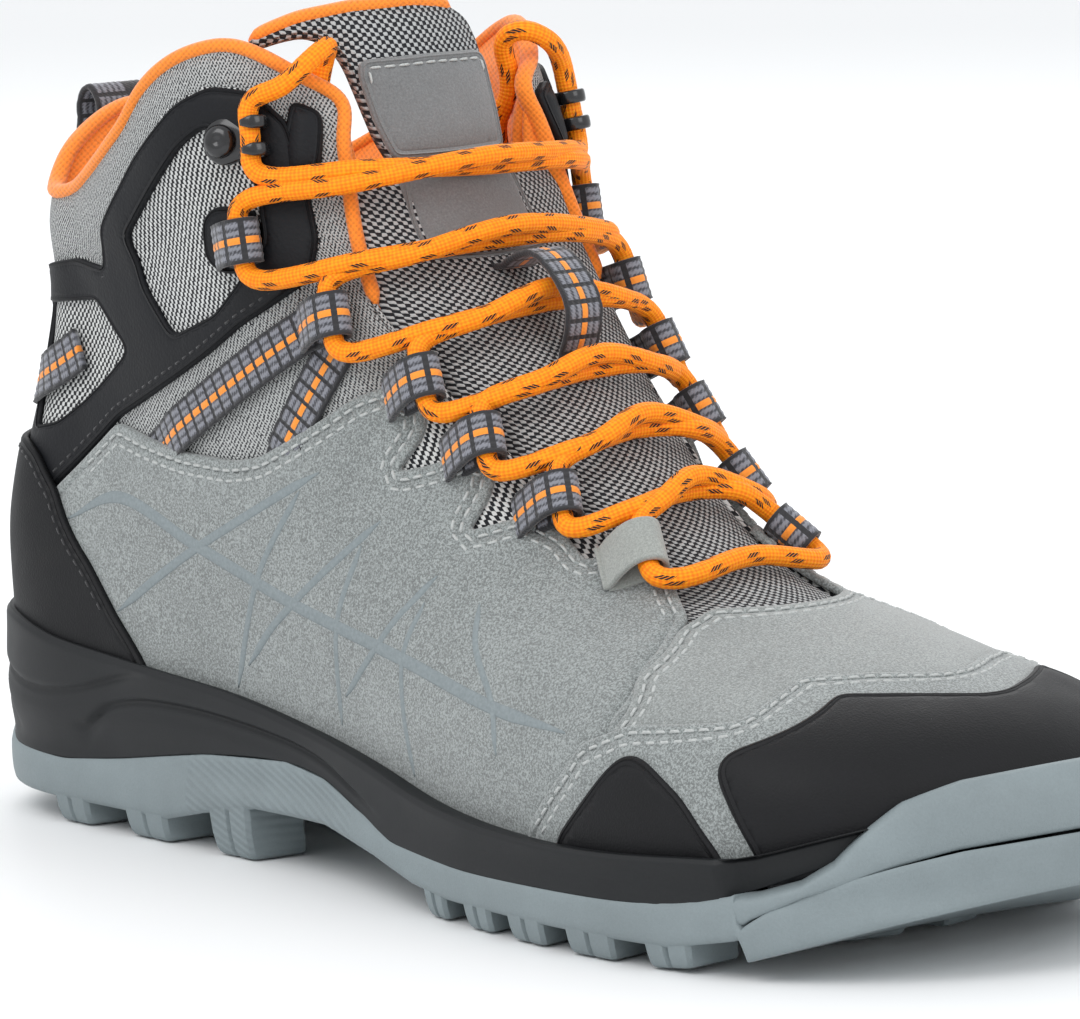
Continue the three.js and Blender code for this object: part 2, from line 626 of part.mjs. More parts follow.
// A strip of webbing on the ridge, standing over the crossing laces: half height, height over the last.
const KEEPER_MIDDLE = 109.5;
const KEEPER_THICKNESS = 1.2;
function keeperLine(grow) {
  const rise = [
    [-7.5 - grow, -1.2], [-5.5 - grow, 9.3 + grow], [0, 10.8 + grow],
    [5.5 + grow, 9.3 + grow], [7.5 + grow, -1.2],
  ];
  return rise.map(([dz, offset]) => ridge(KEEPER_MIDDLE + dz, offset)).map((p) => [p.x, p.z]);
}
const keeperOutline = [...keeperLine(0), ...keeperLine(KEEPER_THICKNESS).reverse()];
const keeperMiddleY = 1;         // towards the inner ankle, with the middle of the tongue
const keeperSides = [keeperMiddleY - WEBBING_WIDTH / 2, keeperMiddleY + WEBBING_WIDTH / 2];
addPiece('tongue_keeper', sidePrism(keeperOutline, [], ...keeperSides), 'webbing');

// ---------------------------------------------------------------- lace loops, hooks and lace
const LACE_HEIGHT = 5.45;        // lace centre above the last, inside a loop
// Side-view place of each loop's bore, and the slope of the throat edge there in degrees; the last is a hook.
const LOOPS = {
  [LATERAL]: [
    [44, 66, 42], [25, 75.5, 54], [8, 86, 56], [-7, 97, 58], [-28, 108.5, 66], [-49, 123, 75], [-50, 143, 78],
  ],
  [MEDIAL]: [
    [45, 65.5, 42], [26, 75, 54], [9, 87, 56], [-5, 98.5, 58], [-21.5, 110, 66], [-42, 124, 75], [-45, 143, 78],
  ],
};
const HOOK = 6;

function besideLoop(side, k, distance) {
  // Side-view point at a distance up the throat edge from a loop's middle.
  const [x, z, slope] = LOOPS[side][k];
  const angle = THREE.MathUtils.degToRad(slope);
  return [x - distance * Math.cos(angle), z + distance * Math.sin(angle)];
}

function loopFrame(side, k) {
  // Axis along the throat edge, normal off the last, and a third direction towards the ridge.
  const [x, z] = LOOPS[side][k];
  const centre = onLast(side, x, z, LACE_HEIGHT);
  const normal = lastNormal(thetaAt(x, z), z, side);
  const up = onLast(side, ...besideLoop(side, k, 2), LACE_HEIGHT).sub(centre);
  up.addScaledVector(normal, -up.dot(normal)).normalize();
  const inward = new THREE.Vector3().crossVectors(up, normal).multiplyScalar(-side);
  return { centre, normal, up, inward };
}

function placed(geometry, frame) {
  const axis = new THREE.Vector3().crossVectors(frame.inward, frame.normal);
  const turn = new THREE.Matrix4().makeBasis(frame.inward, frame.normal, axis);
  geometry.applyMatrix4(turn.setPosition(frame.centre));
  return toSolid(geometry);
}

function carried(shape, frame, length) {
  // A profile drawn with x to the ridge and y off the last, carried along the throat edge.
  const geometry = new THREE.ExtrudeGeometry(shape, { depth: length, bevelEnabled: false, curveSegments: 4 });
  geometry.translate(0, 0, -length / 2);
  return placed(geometry, frame);
}

const LOOP_LENGTH = 8;
const LOOP_HALF_HEIGHT = 3.05;
const LOOP_BORE = 2.5;
const LOOP_TAIL = 7.5;           // how far its sewn end runs back on to the upper
const WEBBING_THICKNESS = 1.4;
function loopShape() {
  const noseMiddle = 0.6;
  const shape = new THREE.Shape();
  shape.moveTo(-LOOP_TAIL, -LOOP_HALF_HEIGHT);
  shape.lineTo(noseMiddle, -LOOP_HALF_HEIGHT);
  shape.absarc(noseMiddle, 0, LOOP_HALF_HEIGHT, -Math.PI / 2, Math.PI / 2, false);
  shape.lineTo(-2, LOOP_HALF_HEIGHT);
  shape.lineTo(-LOOP_TAIL, -LOOP_HALF_HEIGHT + WEBBING_THICKNESS);
  const bore = new THREE.Path();
  bore.absarc(0, 0, LOOP_BORE, 0, 2 * Math.PI, true);
  shape.holes.push(bore);
  return shape;
}
const HOOK_WALL = 0.95;
const HOOK_TAIL = 11;
const HOOK_LIP = Math.PI * 0.6;  // the claw closes over the lace as far as this
const RIVET = { radius: 2.2, height: 1, along: -8, up: -1.6 };
function hookShape() {
  const shape = new THREE.Shape();
  const outer = LOOP_BORE + HOOK_WALL;
  shape.moveTo(-HOOK_TAIL, -outer);
  shape.lineTo(0, -outer);
  shape.absarc(0, 0, outer, -Math.PI / 2, HOOK_LIP, false);
  shape.absarc(0, 0, LOOP_BORE, HOOK_LIP, -Math.PI / 2, true);
  shape.lineTo(-HOOK_TAIL, -LOOP_BORE);
  return shape;
}
function rivet(frame) {
  const head = new THREE.CylinderGeometry(RIVET.radius, RIVET.radius, RIVET.height, 12);
  head.translate(RIVET.along, RIVET.up, 0);
  return placed(head, frame);
}
for (const side of sides) {
  for (let k = 0; k < HOOK; k += 1) {
    const finish = k === 0 && side === LATERAL ? 'suede' : 'webbing';
    const loop = carried(loopShape(), loopFrame(side, k), LOOP_LENGTH);
    addPiece(`lace_loop_${sideName[side]}_${k + 1}`, loop, finish);
  }
  const frame = loopFrame(side, HOOK);
  addPiece(`lace_hook_${sideName[side]}`, carried(hookShape(), frame, LOOP_LENGTH), 'hook');
  addPiece(`hook_rivet_${sideName[side]}`, rivet(frame), 'steel');
}

// The lace crosses at the ridge: the strand that leaves an outer loop lies on top.
const CROSSING_UNDER = 2.2;
const CROSSING_OVER = 6.5;
const EDGE_HEIGHT = 5.9;         // and this high where it passes over the edge of the throat
const EDGE_SHARE = 0.45;         // how far from the loop to the ridge that edge is
const CROSSING_HEIGHTS = [76.5, 87.5, 98, 110, 122, 136];
const HALF_PASS = LOOP_LENGTH / 2 + 3;

function passThrough(side, k) {
  const { centre, up } = loopFrame(side, k);
  return [-HALF_PASS, 0, HALF_PASS].map((s) => centre.clone().addScaledVector(up, s));
}

function towardsRidge(side, [x, z], crossingZ) {
  const theta = thetaAt(x, z);
  return offsetPoint(theta + EDGE_SHARE * (1 - theta), z + EDGE_SHARE * (crossingZ - z), side, EDGE_HEIGHT);
}

function crossing(fromSide, k) {
  // From the top of loop k on one side to the bottom of loop k + 1 on the other.
  const z = CROSSING_HEIGHTS[k];
  const offset = fromSide === LATERAL ? CROSSING_OVER : CROSSING_UNDER;
  const leave = besideLoop(fromSide, k, HALF_PASS + 1);
  const arrive = besideLoop(-fromSide, k + 1, -HALF_PASS - 1);
  return [towardsRidge(fromSide, leave, z), ridge(z, offset), towardsRidge(-fromSide, arrive, z)];
}

function laceHalf(startSide) {
  const points = [...passThrough(startSide, 0)];
  let side = startSide;
  for (let k = 0; k < HOOK; k += 1) {
    points.push(...crossing(side, k));
    side = -side;
    points.push(...passThrough(side, k + 1));
  }
  return { points, side };
}

// From each hook the lace turns over the front of the collar and is tucked down inside: x, z, offset.
const TAIL = [
  [-46.5, 152.5, 5.4], [-44.5, 157, 5], [-43.3, 160.6, 2], [-43, 159.8, -2.8], [-42.5, 154, -4.4],
  [-42, 149, -6.2], [-43.5, 144.5, -10], [-46, 136, -10], [-45, 123, -10], [-43, 110, -10], [-41, 98, -10.5],
];
function tail(side) {
  return TAIL.map(([x, z, offset]) => onLast(side, x, z, offset));
}
const first = laceHalf(LATERAL);
const second = laceHalf(MEDIAL);
const bar = [
  onLast(LATERAL, 53.5, 61.3, 4.4),
  ridge(65, 3),
  onLast(MEDIAL, 54, 61.3, 4.4),
];
const LACE_ROUTE = [
  ...tail(first.side).reverse(), ...first.points.reverse(), ...bar, ...second.points, ...tail(second.side),
];

addPiece('lace', tube(LACE_ROUTE, LACE_DIAMETER / 2, 8), 'lace');

const AGLET = { length: 22, radius: 1.7 };
function aglet(end, beforeEnd) {
  const direction = end.clone().sub(beforeEnd).normalize();
  const start = end.clone().addScaledVector(direction, GAP);
  return tube([start, start.clone().addScaledVector(direction, AGLET.length)], AGLET.radius, 8);
}
const lastIndex = LACE_ROUTE.length - 1;
addPiece('lace_tip_lateral', aglet(LACE_ROUTE[0], LACE_ROUTE[1]), 'hook');
addPiece('lace_tip_medial', aglet(LACE_ROUTE[lastIndex], LACE_ROUTE[lastIndex - 1]), 'hook');

// ---------------------------------------------------------------- pull loop
const PULL_LOOP = { x: -141.6, bottom: 131, top: 147, depth: 8.4, wall: 1.3, width: 14 };
function pullLoop() {
  const { x, bottom, top, depth, wall, width } = PULL_LOOP;
  const ring = (inset) => {
    const [back, front, shoulder] = [x - depth / 2 + inset, x + depth / 2 - inset, top - 3 - inset / 2];
    return [[back, bottom + inset], [front, bottom + inset], [front, shoulder], [x, top - inset], [back, shoulder]];
  };
  return sidePrism(ring(0), [ring(wall)], -width / 2, width / 2);
}
addPiece('pull_loop', pullLoop(), 'webbing');

// The origin lies under the middle of the sole.
boot.position.x = 5;

export default boot;
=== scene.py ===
"""A right-foot hiking boot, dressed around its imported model. Shapes are worked out in millimetres on the
last, whose toe points along +X and whose inner ankle faces +Y, and become metres in the mesh."""
import bmesh
import bpy
import numpy as np
from mathutils import Matrix


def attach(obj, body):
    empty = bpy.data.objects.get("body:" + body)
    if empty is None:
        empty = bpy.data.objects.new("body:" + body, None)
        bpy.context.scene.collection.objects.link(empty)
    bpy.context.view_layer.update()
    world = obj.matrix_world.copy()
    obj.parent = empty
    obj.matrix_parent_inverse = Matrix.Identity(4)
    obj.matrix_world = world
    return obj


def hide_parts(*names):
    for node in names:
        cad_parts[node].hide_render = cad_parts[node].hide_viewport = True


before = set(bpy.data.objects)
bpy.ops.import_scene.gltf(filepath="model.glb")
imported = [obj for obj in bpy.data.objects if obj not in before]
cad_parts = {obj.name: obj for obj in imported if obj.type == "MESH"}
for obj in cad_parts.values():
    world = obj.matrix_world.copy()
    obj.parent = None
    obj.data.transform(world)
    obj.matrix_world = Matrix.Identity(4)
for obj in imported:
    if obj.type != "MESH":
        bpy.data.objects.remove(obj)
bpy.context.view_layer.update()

# ---------------------------------------------------------------- stage: floor, lamps and camera
# A pale studio floor under three soft lamps, seen from the toe end of the boot's outer side.
FLOOR_HALF = 6.0
floor_mesh = bpy.data.meshes.new("floor")
floor_corners = [(-FLOOR_HALF, -FLOOR_HALF, -0.0004), (FLOOR_HALF, -FLOOR_HALF, -0.0004),
                 (FLOOR_HALF, FLOOR_HALF, -0.0004), (-FLOOR_HALF, FLOOR_HALF, -0.0004)]
floor_mesh.from_pydata(floor_corners, [], [(0, 1, 2, 3)])
floor = bpy.data.objects.new("floor", floor_mesh)
bpy.context.scene.collection.objects.link(floor)
floor_paint = bpy.data.materials.new("floor_paint")
floor_paint.use_nodes = True
floor_paint.node_tree.nodes["Principled BSDF"].inputs["Base Color"].default_value = (0.9, 0.905, 0.91, 1)
floor_paint.node_tree.nodes["Principled BSDF"].inputs["Roughness"].default_value = 0.6
floor_mesh.materials.append(floor_paint)

world = bpy.data.worlds.new("studio")
bpy.context.scene.world = world
world.use_nodes = True
world.node_tree.nodes["Background"].inputs["Color"].default_value = (0.97, 0.985, 1.0, 1)
world.node_tree.nodes["Background"].inputs["Strength"].default_value = 1.0
bpy.context.scene.view_settings.view_transform = "Standard"


def soft_lamp(name, place, aim, size, power):
    """A square area lamp at place, turned so that its face looks at aim."""
    lamp = bpy.data.objects.new(name, bpy.data.lights.new(name, "AREA"))
    lamp.data.size = size
    lamp.data.energy = power
    towards = np.array(aim) - np.array(place)
    towards /= np.linalg.norm(towards)
    across = np.cross(towards, (0, 0, 1))
    across /= np.linalg.norm(across)
    turned = np.array([across, np.cross(across, towards), -towards]).T
    lamp.matrix_world = Matrix([(*row, offset) for row, offset in zip(turned, place)] + [(0, 0, 0, 1)])
    bpy.context.scene.collection.objects.link(lamp)


BOOT_MIDDLE = (0, 0, 0.07)
soft_lamp("key_lamp", (0.15, -1.1, 1.25), BOOT_MIDDLE, 0.9, 9)
soft_lamp("toe_lamp", (1.3, 0.25, 0.8), BOOT_MIDDLE, 0.8, 4.5)
soft_lamp("back_lamp", (-0.9, 0.9, 1.0), BOOT_MIDDLE, 0.8, 5)

azimuth, elevation, roll = np.radians([49.92, 8.23, -0.83])
AIM = np.array([27.16, -10.46, 73.31]) / 1000
CAMERA_DISTANCE = 1.5
to_camera = np.array([
    np.sin(azimuth) * np.cos(elevation), -np.cos(azimuth) * np.cos(elevation), np.sin(elevation),
])
level_right = np.cross(-to_camera, (0, 0, 1))
level_right /= np.linalg.norm(level_right)
level_up = np.cross(level_right, -to_camera)
camera_right = np.cos(roll) * level_right + np.sin(roll) * level_up
camera_up = np.cos(roll) * level_up - np.sin(roll) * level_right
camera = bpy.data.objects.new("camera", bpy.data.cameras.new("camera"))
camera.data.sensor_width = 36
camera.data.lens = 259.94
camera.data.shift_x = -0.0444
camera.data.shift_y = 0.0053
camera_place = AIM + CAMERA_DISTANCE * to_camera
camera_axes = np.array([camera_right, camera_up, to_camera]).T
camera.matrix_world = Matrix([(*row, offset) for row, offset in zip(camera_axes, camera_place)] + [(0, 0, 0, 1)])
bpy.context.scene.collection.objects.link(camera)
bpy.context.scene.camera = camera

# ---------------------------------------------------------------- lace
# One round braided cord, orange with paired dark flecks, threaded through six webbing loops and a hook a
# side. It crosses at the ridge of the foot and both ends are tucked down inside the collar.
LATERAL, MEDIAL = -1, 1
SIDES = ((LATERAL, "lateral"), (MEDIAL, "medial"))
# The last, seen from its outer side: (height, x) of its heel line and of its front ridge.
BACK = [[12, -147], [30, -149], [50, -149], [70, -145], [95, -137], [120, -134], [140, -134], [185, -135]]
FRONT = [[12, 135], [30, 136], [37, 133], [43, 124], [48, 109], [52, 94], [56, 78], [62, 60], [73, 41],
         [86, 24], [99, 8], [112, -7], [125, -19], [140, -28], [155, -35], [172, -41], [185, -45]]
# Half widths of level slices at these turns round the foot, the outer side's table first; the first and
# last numbers of a row are the radii of its round ends.
STATIONS = np.array([0, 0.15, 0.3, 0.45, 0.6, 0.72, 0.84, 1])
SLICE_HEIGHTS = np.array([12, 35, 58, 85, 110, 140, 185.0])
WIDTHS = np.array([
    [[33, 29, 35, 36, 47, 49, 38, 38], [34, 30, 36, 37, 47, 49, 38, 34], [32, 29, 36, 37, 37, 33, 20, 22],
     [28, 26, 33, 36, 34, 28, 18, 14], [26, 24, 32, 36, 35, 29, 19, 14], [26, 24, 33, 38, 38, 31, 20, 14],
     [28, 26, 35, 40, 40, 33, 21, 14]],
    [[33, 28, 33, 33, 42, 44, 34, 34], [34, 29, 34, 35, 43, 45, 34, 30], [32, 28, 35, 36, 37, 33, 20, 22],
     [28, 25, 33, 36, 35, 30, 20, 16], [26, 23, 32, 37, 38, 34, 24, 18], [26, 23, 33, 40, 43, 38, 26, 20],
     [28, 25, 35, 42, 44, 39, 27, 20]],
], float)
ORIGIN_SHIFT = np.array([5.0, 0, 0])  # the last's own zero lies this far behind the model's


def hermite_weights(stops, value):
    """Four neighbouring stops and their weights for a cubic through every stop, whose slope at a stop is
    that of the line between its two neighbours."""
    stops = np.asarray(stops, float)
    value = np.clip(value, stops[0], stops[-1])
    i = np.clip(np.searchsorted(stops, value, side="right") - 1, 0, len(stops) - 2)
    before, after = np.maximum(i - 1, 0), np.minimum(i + 2, len(stops) - 1)
    step = stops[i + 1] - stops[i]
    t = (value - stops[i]) / step
    blend = 3 * t**2 - 2 * t**3
    start_pull = (t**3 - 2 * t**2 + t) * step / (stops[i + 1] - stops[before])
    end_pull = (t**3 - t**2) * step / (stops[after] - stops[i])
    return [(before, -start_pull), (i, 1 - blend - end_pull), (i + 1, blend + start_pull), (after, end_pull)]


def along(pairs, value):
    """The smooth curve through (stop, height) pairs, read at value."""
    pairs = np.asarray(pairs, float)
    return sum(weight * pairs[k, 1] for k, weight in hermite_weights(pairs[:, 0], value))


def centre_line(x):
    """Straight to the instep, then swinging to the inner side as a power of the distance on."""
    return 7 * np.clip((x + 10) / 150, 0, 1.2) ** 1.6


half_lengths = (along(FRONT, SLICE_HEIGHTS) - along(BACK, SLICE_HEIGHTS)) / 2
WIDTH_FACTORS = WIDTHS.copy()
WIDTH_FACTORS[:, :, 1:-1] /= np.sin(np.pi * STATIONS[1:-1])
WIDTH_FACTORS[:, :, [0, -1]] = np.sqrt(WIDTHS[:, :, [0, -1]] * half_lengths[:, None])


def width_factor(theta, z, side):
    """The half width of a level slice divided by the sine of its turn, smooth in both directions."""
    table = (np.asarray(side) > 0).astype(int)
    total = 0
    for k, height_weight in hermite_weights(SLICE_HEIGHTS, z):
        for j, turn_weight in hermite_weights(STATIONS, theta):
            total = total + height_weight * turn_weight * WIDTH_FACTORS[table, k, j]
    return total


def last_point(theta, z, side):
    """A level oval: its length follows the cosine of the turn, from 0 at the heel to 1 at the front ridge,
    and its half width is the width factor times the sine."""
    theta, z, side = np.broadcast_arrays(np.asarray(theta, float), np.asarray(z, float), side)
    back = along(BACK, z)
    x = back + (along(FRONT, z) - back) * (1 - np.cos(np.pi * theta)) / 2
    return np.stack([x, centre_line(x) + side * width_factor(theta, z, side) * np.sin(np.pi * theta), z], -1)


def last_normal(theta, z, side):
    """The cross product of the surface's two slopes, turned to face outwards."""
    forward = last_point(theta + 0.002, z, side) - last_point(theta - 0.002, z, side)
    upward = last_point(theta, z + 0.4, side) - last_point(theta, z - 0.4, side)
    normal = -np.asarray(side)[..., None] * np.cross(forward, upward)
    return normal / np.linalg.norm(normal, axis=-1, keepdims=True)


def theta_at(x, z):
    """The turn at which the oval at height z reaches x."""
    back = along(BACK, z)
    share = np.clip((x - back) / (along(FRONT, z) - back), 0, 1)
    return np.arccos(1 - 2 * share) / np.pi


def on_last(side, x, z, offset=0.0):
    """The point of one side of the last seen at (x, z) from that side, moved off it by offset."""
    x, z, side = np.broadcast_arrays(np.asarray(x, float), np.asarray(z, float), side)
    theta = theta_at(x, z)
    return last_point(theta, z, side) + np.asarray(offset)[..., None] * last_normal(theta, z, side)


def beyond(points):
    """Nought on the last and positive outside it: the squared distance from the middle over the squared
    width factor, less the squared sine of the turn."""
    x, y, z = points.T
    back = along(BACK, z)
    share = (x - back) / (along(FRONT, z) - back)
    theta = np.arccos(1 - 2 * np.clip(share, 0, 1)) / np.pi
    sideways = y - centre_line(x)
    return (sideways / width_factor(theta, z, np.where(sideways < 0, -1, 1))) ** 2 - 4 * share * (1 - share)


def settle(points, height=0.0):
    """Points moved by Newton's method on to the last, then off it along the normal by height."""
    points = np.array(points, float).reshape(-1, 3)
    for step in range(5):
        slope = np.stack([
            (beyond(points + nudge) - beyond(points - nudge)) / 0.2 for nudge in np.eye(3) * 0.1
        ], -1)
        size = np.sum(slope**2, axis=1, keepdims=True) + 1e-12
        points = points - np.clip(beyond(points)[:, None] / size, -4e3, 4e3) * slope * (step < 4)
    normal = slope / np.sqrt(size)
    return points + np.asarray(height).reshape(-1, 1) * normal, normal


def add_piece(name, points, faces, smooth=True, recalculate=True):
    """A mesh piece from points in millimetres and faces as tuples of point numbers, welded and turned out."""
    mesh = bpy.data.meshes.new(name)
    mesh.from_pydata(((np.asarray(points) + ORIGIN_SHIFT) / 1000).tolist(), [], faces)
    if recalculate:
        shell = bmesh.new()
        shell.from_mesh(mesh)
        bmesh.ops.remove_doubles(shell, verts=shell.verts, dist=2e-6)
        bmesh.ops.recalc_face_normals(shell, faces=shell.faces)
        shell.to_mesh(mesh)
        shell.free()
    mesh.polygons.foreach_set("use_smooth", np.full(len(mesh.polygons), smooth))
    piece = bpy.data.objects.new(name, mesh)
    bpy.context.scene.collection.objects.link(piece)
    return piece


def finish_piece(piece, body, slot, material, *nodes):
    """Gives a piece its material and its body, and hides the modelled nodes it stands for; slot is not used."""
    if not piece.data.materials:
        piece.data.materials.append(material)
    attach(piece, body)
    if nodes:
        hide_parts(*nodes)


def smooth_path(points, spacing, closed=False):
    """A centripetal curve through the points: a cubic in the square root of the chord, resampled evenly."""
    points = np.asarray(points, float)
    if closed:
        points = np.vstack([points[-1:], points, points[:2]])
    else:
        points = np.vstack([2 * points[:1] - points[1:2], points, 2 * points[-1:] - points[-2:-1]])
    knots = np.concatenate([[0], np.cumsum(np.sqrt(np.linalg.norm(np.diff(points, axis=0), axis=1)))])
    dense = []
    for i in range(1, len(points) - 2):
        p0, p1, p2, p3 = points[i - 1:i + 3]
        t0, t1, t2, t3 = knots[i - 1:i + 3]
        t = np.linspace(t1, t2, 24, endpoint=False)[:, None]
        a1 = (t1 - t) / (t1 - t0) * p0 + (t - t0) / (t1 - t0) * p1
        a2 = (t2 - t) / (t2 - t1) * p1 + (t - t1) / (t2 - t1) * p2
        a3 = (t3 - t) / (t3 - t2) * p2 + (t - t2) / (t3 - t2) * p3
        b1 = (t2 - t) / (t2 - t0) * a1 + (t - t0) / (t2 - t0) * a2
        b2 = (t3 - t) / (t3 - t1) * a2 + (t - t1) / (t3 - t1) * a3
        dense.append((t2 - t) / (t2 - t1) * b1 + (t - t1) / (t2 - t1) * b2)
    dense = np.vstack(dense + [points[-2:-1]])
    length = run_along(dense)
    stops = np.linspace(0, length[-1], max(4, int(length[-1] / spacing)) + 1)
    if closed:
        stops = stops[:-1]
    return np.stack([np.interp(stops, length, dense[:, k]) for k in range(3)], -1)


def eased_path(path, passes):
    """An open path whose inner points are averaged with their neighbours, over and over."""
    for _ in range(passes):
        path[1:-1] = (path[:-2] + 2 * path[1:-1] + path[2:]) / 4
    return path


def run_along(path):
    """The distance from a path's start to each of its points."""
    return np.concatenate([[0], np.cumsum(np.linalg.norm(np.diff(path, axis=0), axis=1))])


def tangents(path):
    """Unit directions along a path."""
    tangent = np.gradient(path, axis=0)
    return tangent / np.linalg.norm(tangent, axis=1, keepdims=True)


def carried_frames(path):
    """Unit tangents of a path, and a sideways direction that turns no more than the path does."""
    tangent = tangents(path)
    sideways = np.empty_like(path)
    start = np.cross(tangent[0], (0.3, 0.2, 1.0))
    sideways[0] = start / np.linalg.norm(start)
    for i in range(1, len(path)):
        turned = sideways[i - 1] - tangent[i] * np.dot(sideways[i - 1], tangent[i])
        sideways[i] = turned / np.linalg.norm(turned)
    return tangent, sideways, np.cross(tangent, sideways)


def ring_faces(rings, corners, closed=False):
    """Quads between neighbouring rings of a tube, and an end cap on each end of an open one."""
    i, j = np.meshgrid(np.arange(rings if closed else rings - 1), np.arange(corners), indexing="ij")
    a = i * corners + j
    b = i * corners + (j + 1) % corners
    onward = ((i + 1) % rings) * corners
    quads = np.stack([a, b, onward + (j + 1) % corners, onward + j], -1).reshape(-1, 4).tolist()
    if not closed:
        quads += [list(range(corners))[::-1], list(range((rings - 1) * corners, rings * corners))]
    return quads


def add_uv(piece, name, uv_of_point):
    """A UV map from one (u, v) for each vertex of the mesh."""
    mesh = piece.data
    corners = np.zeros(len(mesh.loops), int)
    mesh.loops.foreach_get("vertex_index", corners)
    layer = mesh.uv_layers.new(name=name)
    layer.data.foreach_set("uv", np.asarray(uv_of_point, float)[corners].ravel())


LACE_DIAMETER = 4.2
LACE_HEIGHT = 5.45   # the lace's middle above the last, inside a loop
# Six webbing loops and the hook of each side, from the toe up: x, z and the slope of the throat's edge.
LOOPS = {
    LATERAL: [(44, 66, 42), (25, 75.5, 54), (8, 86, 56), (-7, 97, 58), (-28, 108.5, 66), (-49, 123, 75),
              (-50, 143, 78)],
    MEDIAL: [(45, 65.5, 42), (26, 75, 54), (9, 87, 56), (-5, 98.5, 58), (-21.5, 110, 66), (-42, 124, 75),
             (-45, 143, 78)],
}
HOOK = 6        # the hook's place in each list
HALF_PASS = 7   # half of the straight stretch inside a loop
CROSSING_UNDER, CROSSING_OVER = 2.2, 6.5
EDGE_HEIGHT, EDGE_SHARE = 5.9, 0.45
CROSSING_HEIGHTS = [76.5, 87.5, 98, 110, 122, 136]
# From each hook the lace turns over the collar and is tucked down inside it: x, z, height over the last.
TAIL = [(-46.5, 152.5, 5.4), (-44.5, 157, 5), (-43.3, 160.6, 2), (-43, 159.8, -2.8), (-42.5, 154, -4.4),
        (-42, 149, -6.2), (-43.5, 144.5, -10), (-46, 136, -10), (-45, 123, -10), (-43, 110, -10),
        (-41, 98, -10.5)]


def beside_loop(side, k, distance):
    """A point in side view, this far up the edge of the throat from a loop's middle."""
    x, z, slope = LOOPS[side][k]
    return x - distance * np.cos(np.radians(slope)), z + distance * np.sin(np.radians(slope))


def loop_frame(side, k):
    """A loop's middle and its three directions: off the last, up the throat, and in to the ridge."""
    x, z, _ = LOOPS[side][k]
    centre = on_last(side, x, z, LACE_HEIGHT)
    normal = last_normal(theta_at(x, z), z, side)
    up = on_last(side, *beside_loop(side, k, 2), LACE_HEIGHT) - centre
    up -= normal * np.dot(up, normal)
    up /= np.linalg.norm(up)
    return centre, normal, up, -side * np.cross(up, normal)


def ridge(z, offset):
    """A point over the front ridge: a place ahead of the last is read at its foremost turn."""
    return on_last(LATERAL, 300, z, offset)


def pass_through(side, k):
    """The straight stretch of lace inside a loop."""
    centre, _, up, _ = loop_frame(side, k)
    return [centre + s * up for s in (-HALF_PASS, 0, HALF_PASS)]


def towards_ridge(side, place, crossing_z):
    """Over the throat's edge, part of the way from a loop to the ridge."""
    x, z = place
    theta = theta_at(x, z)
    theta = theta + EDGE_SHARE * (1 - theta)
    z = z + EDGE_SHARE * (crossing_z - z)
    return last_point(theta, z, side) + EDGE_HEIGHT * last_normal(theta, z, side)


def lace_half(side):
    """From a side's lowest loop up to a hook, changing sides at each crossing; outer strands lie on top."""
    points = pass_through(side, 0)
    for k, z in enumerate(CROSSING_HEIGHTS):
        offset = CROSSING_OVER if side == LATERAL else CROSSING_UNDER
        points.append(towards_ridge(side, beside_loop(side, k, HALF_PASS + 1), z))
        points.append(ridge(z, offset))
        points.append(towards_ridge(-side, beside_loop(-side, k + 1, -HALF_PASS - 1), z))
        side = -side
        points += pass_through(side, k + 1)
    return points, [on_last(side, *place) for place in TAIL]


first_half, first_tail = lace_half(LATERAL)
second_half, second_tail = lace_half(MEDIAL)
toe_bar = [on_last(LATERAL, 53.5, 61.3, 4.4), ridge(65, 3), on_last(MEDIAL, 54, 61.3, 4.4)]
lace_route = np.array(first_tail[::-1] + first_half[::-1] + toe_bar + second_half + second_tail)
lace_path = eased_path(smooth_path(lace_route, 0.9), 8)

LACE_SIDES = 14
tangent, sideways, upwards = carried_frames(lace_path)
around = 2 * np.pi * np.arange(LACE_SIDES) / LACE_SIDES
lace_run = run_along(lace_path)
# The braid stands in low ridges that wind both ways round the cord.
RIDGE_HEIGHT, RIDGE_TWIST = 0.05, 1.9
wound = lace_run[:, None] * RIDGE_TWIST
braid = RIDGE_HEIGHT * np.cos(4 * around[None] + wound) * np.cos(4 * around[None] - wound)
radius = LACE_DIAMETER / 2 - RIDGE_HEIGHT + braid
lace_points = lace_path[:, None] + radius[..., None] * (
    np.cos(around)[None, :, None] * sideways[:, None] + np.sin(around)[None, :, None] * upwards[:, None])
lace_faces = ring_faces(len(lace_path), LACE_SIDES)
lace = add_piece("lace_cord", lace_points.reshape(-1, 3), lace_faces, recalculate=False)
# u runs in millimetres along the cord and v goes up and down once round it, so that the seam doesn't show.
round_share = np.abs((around / np.pi + 1) % 2 - 1)
lace_uv = np.stack(np.broadcast_arrays(lace_run[:, None], round_share[None]), -1)
add_uv(lace, "lace_uv", lace_uv.reshape(-1, 2))


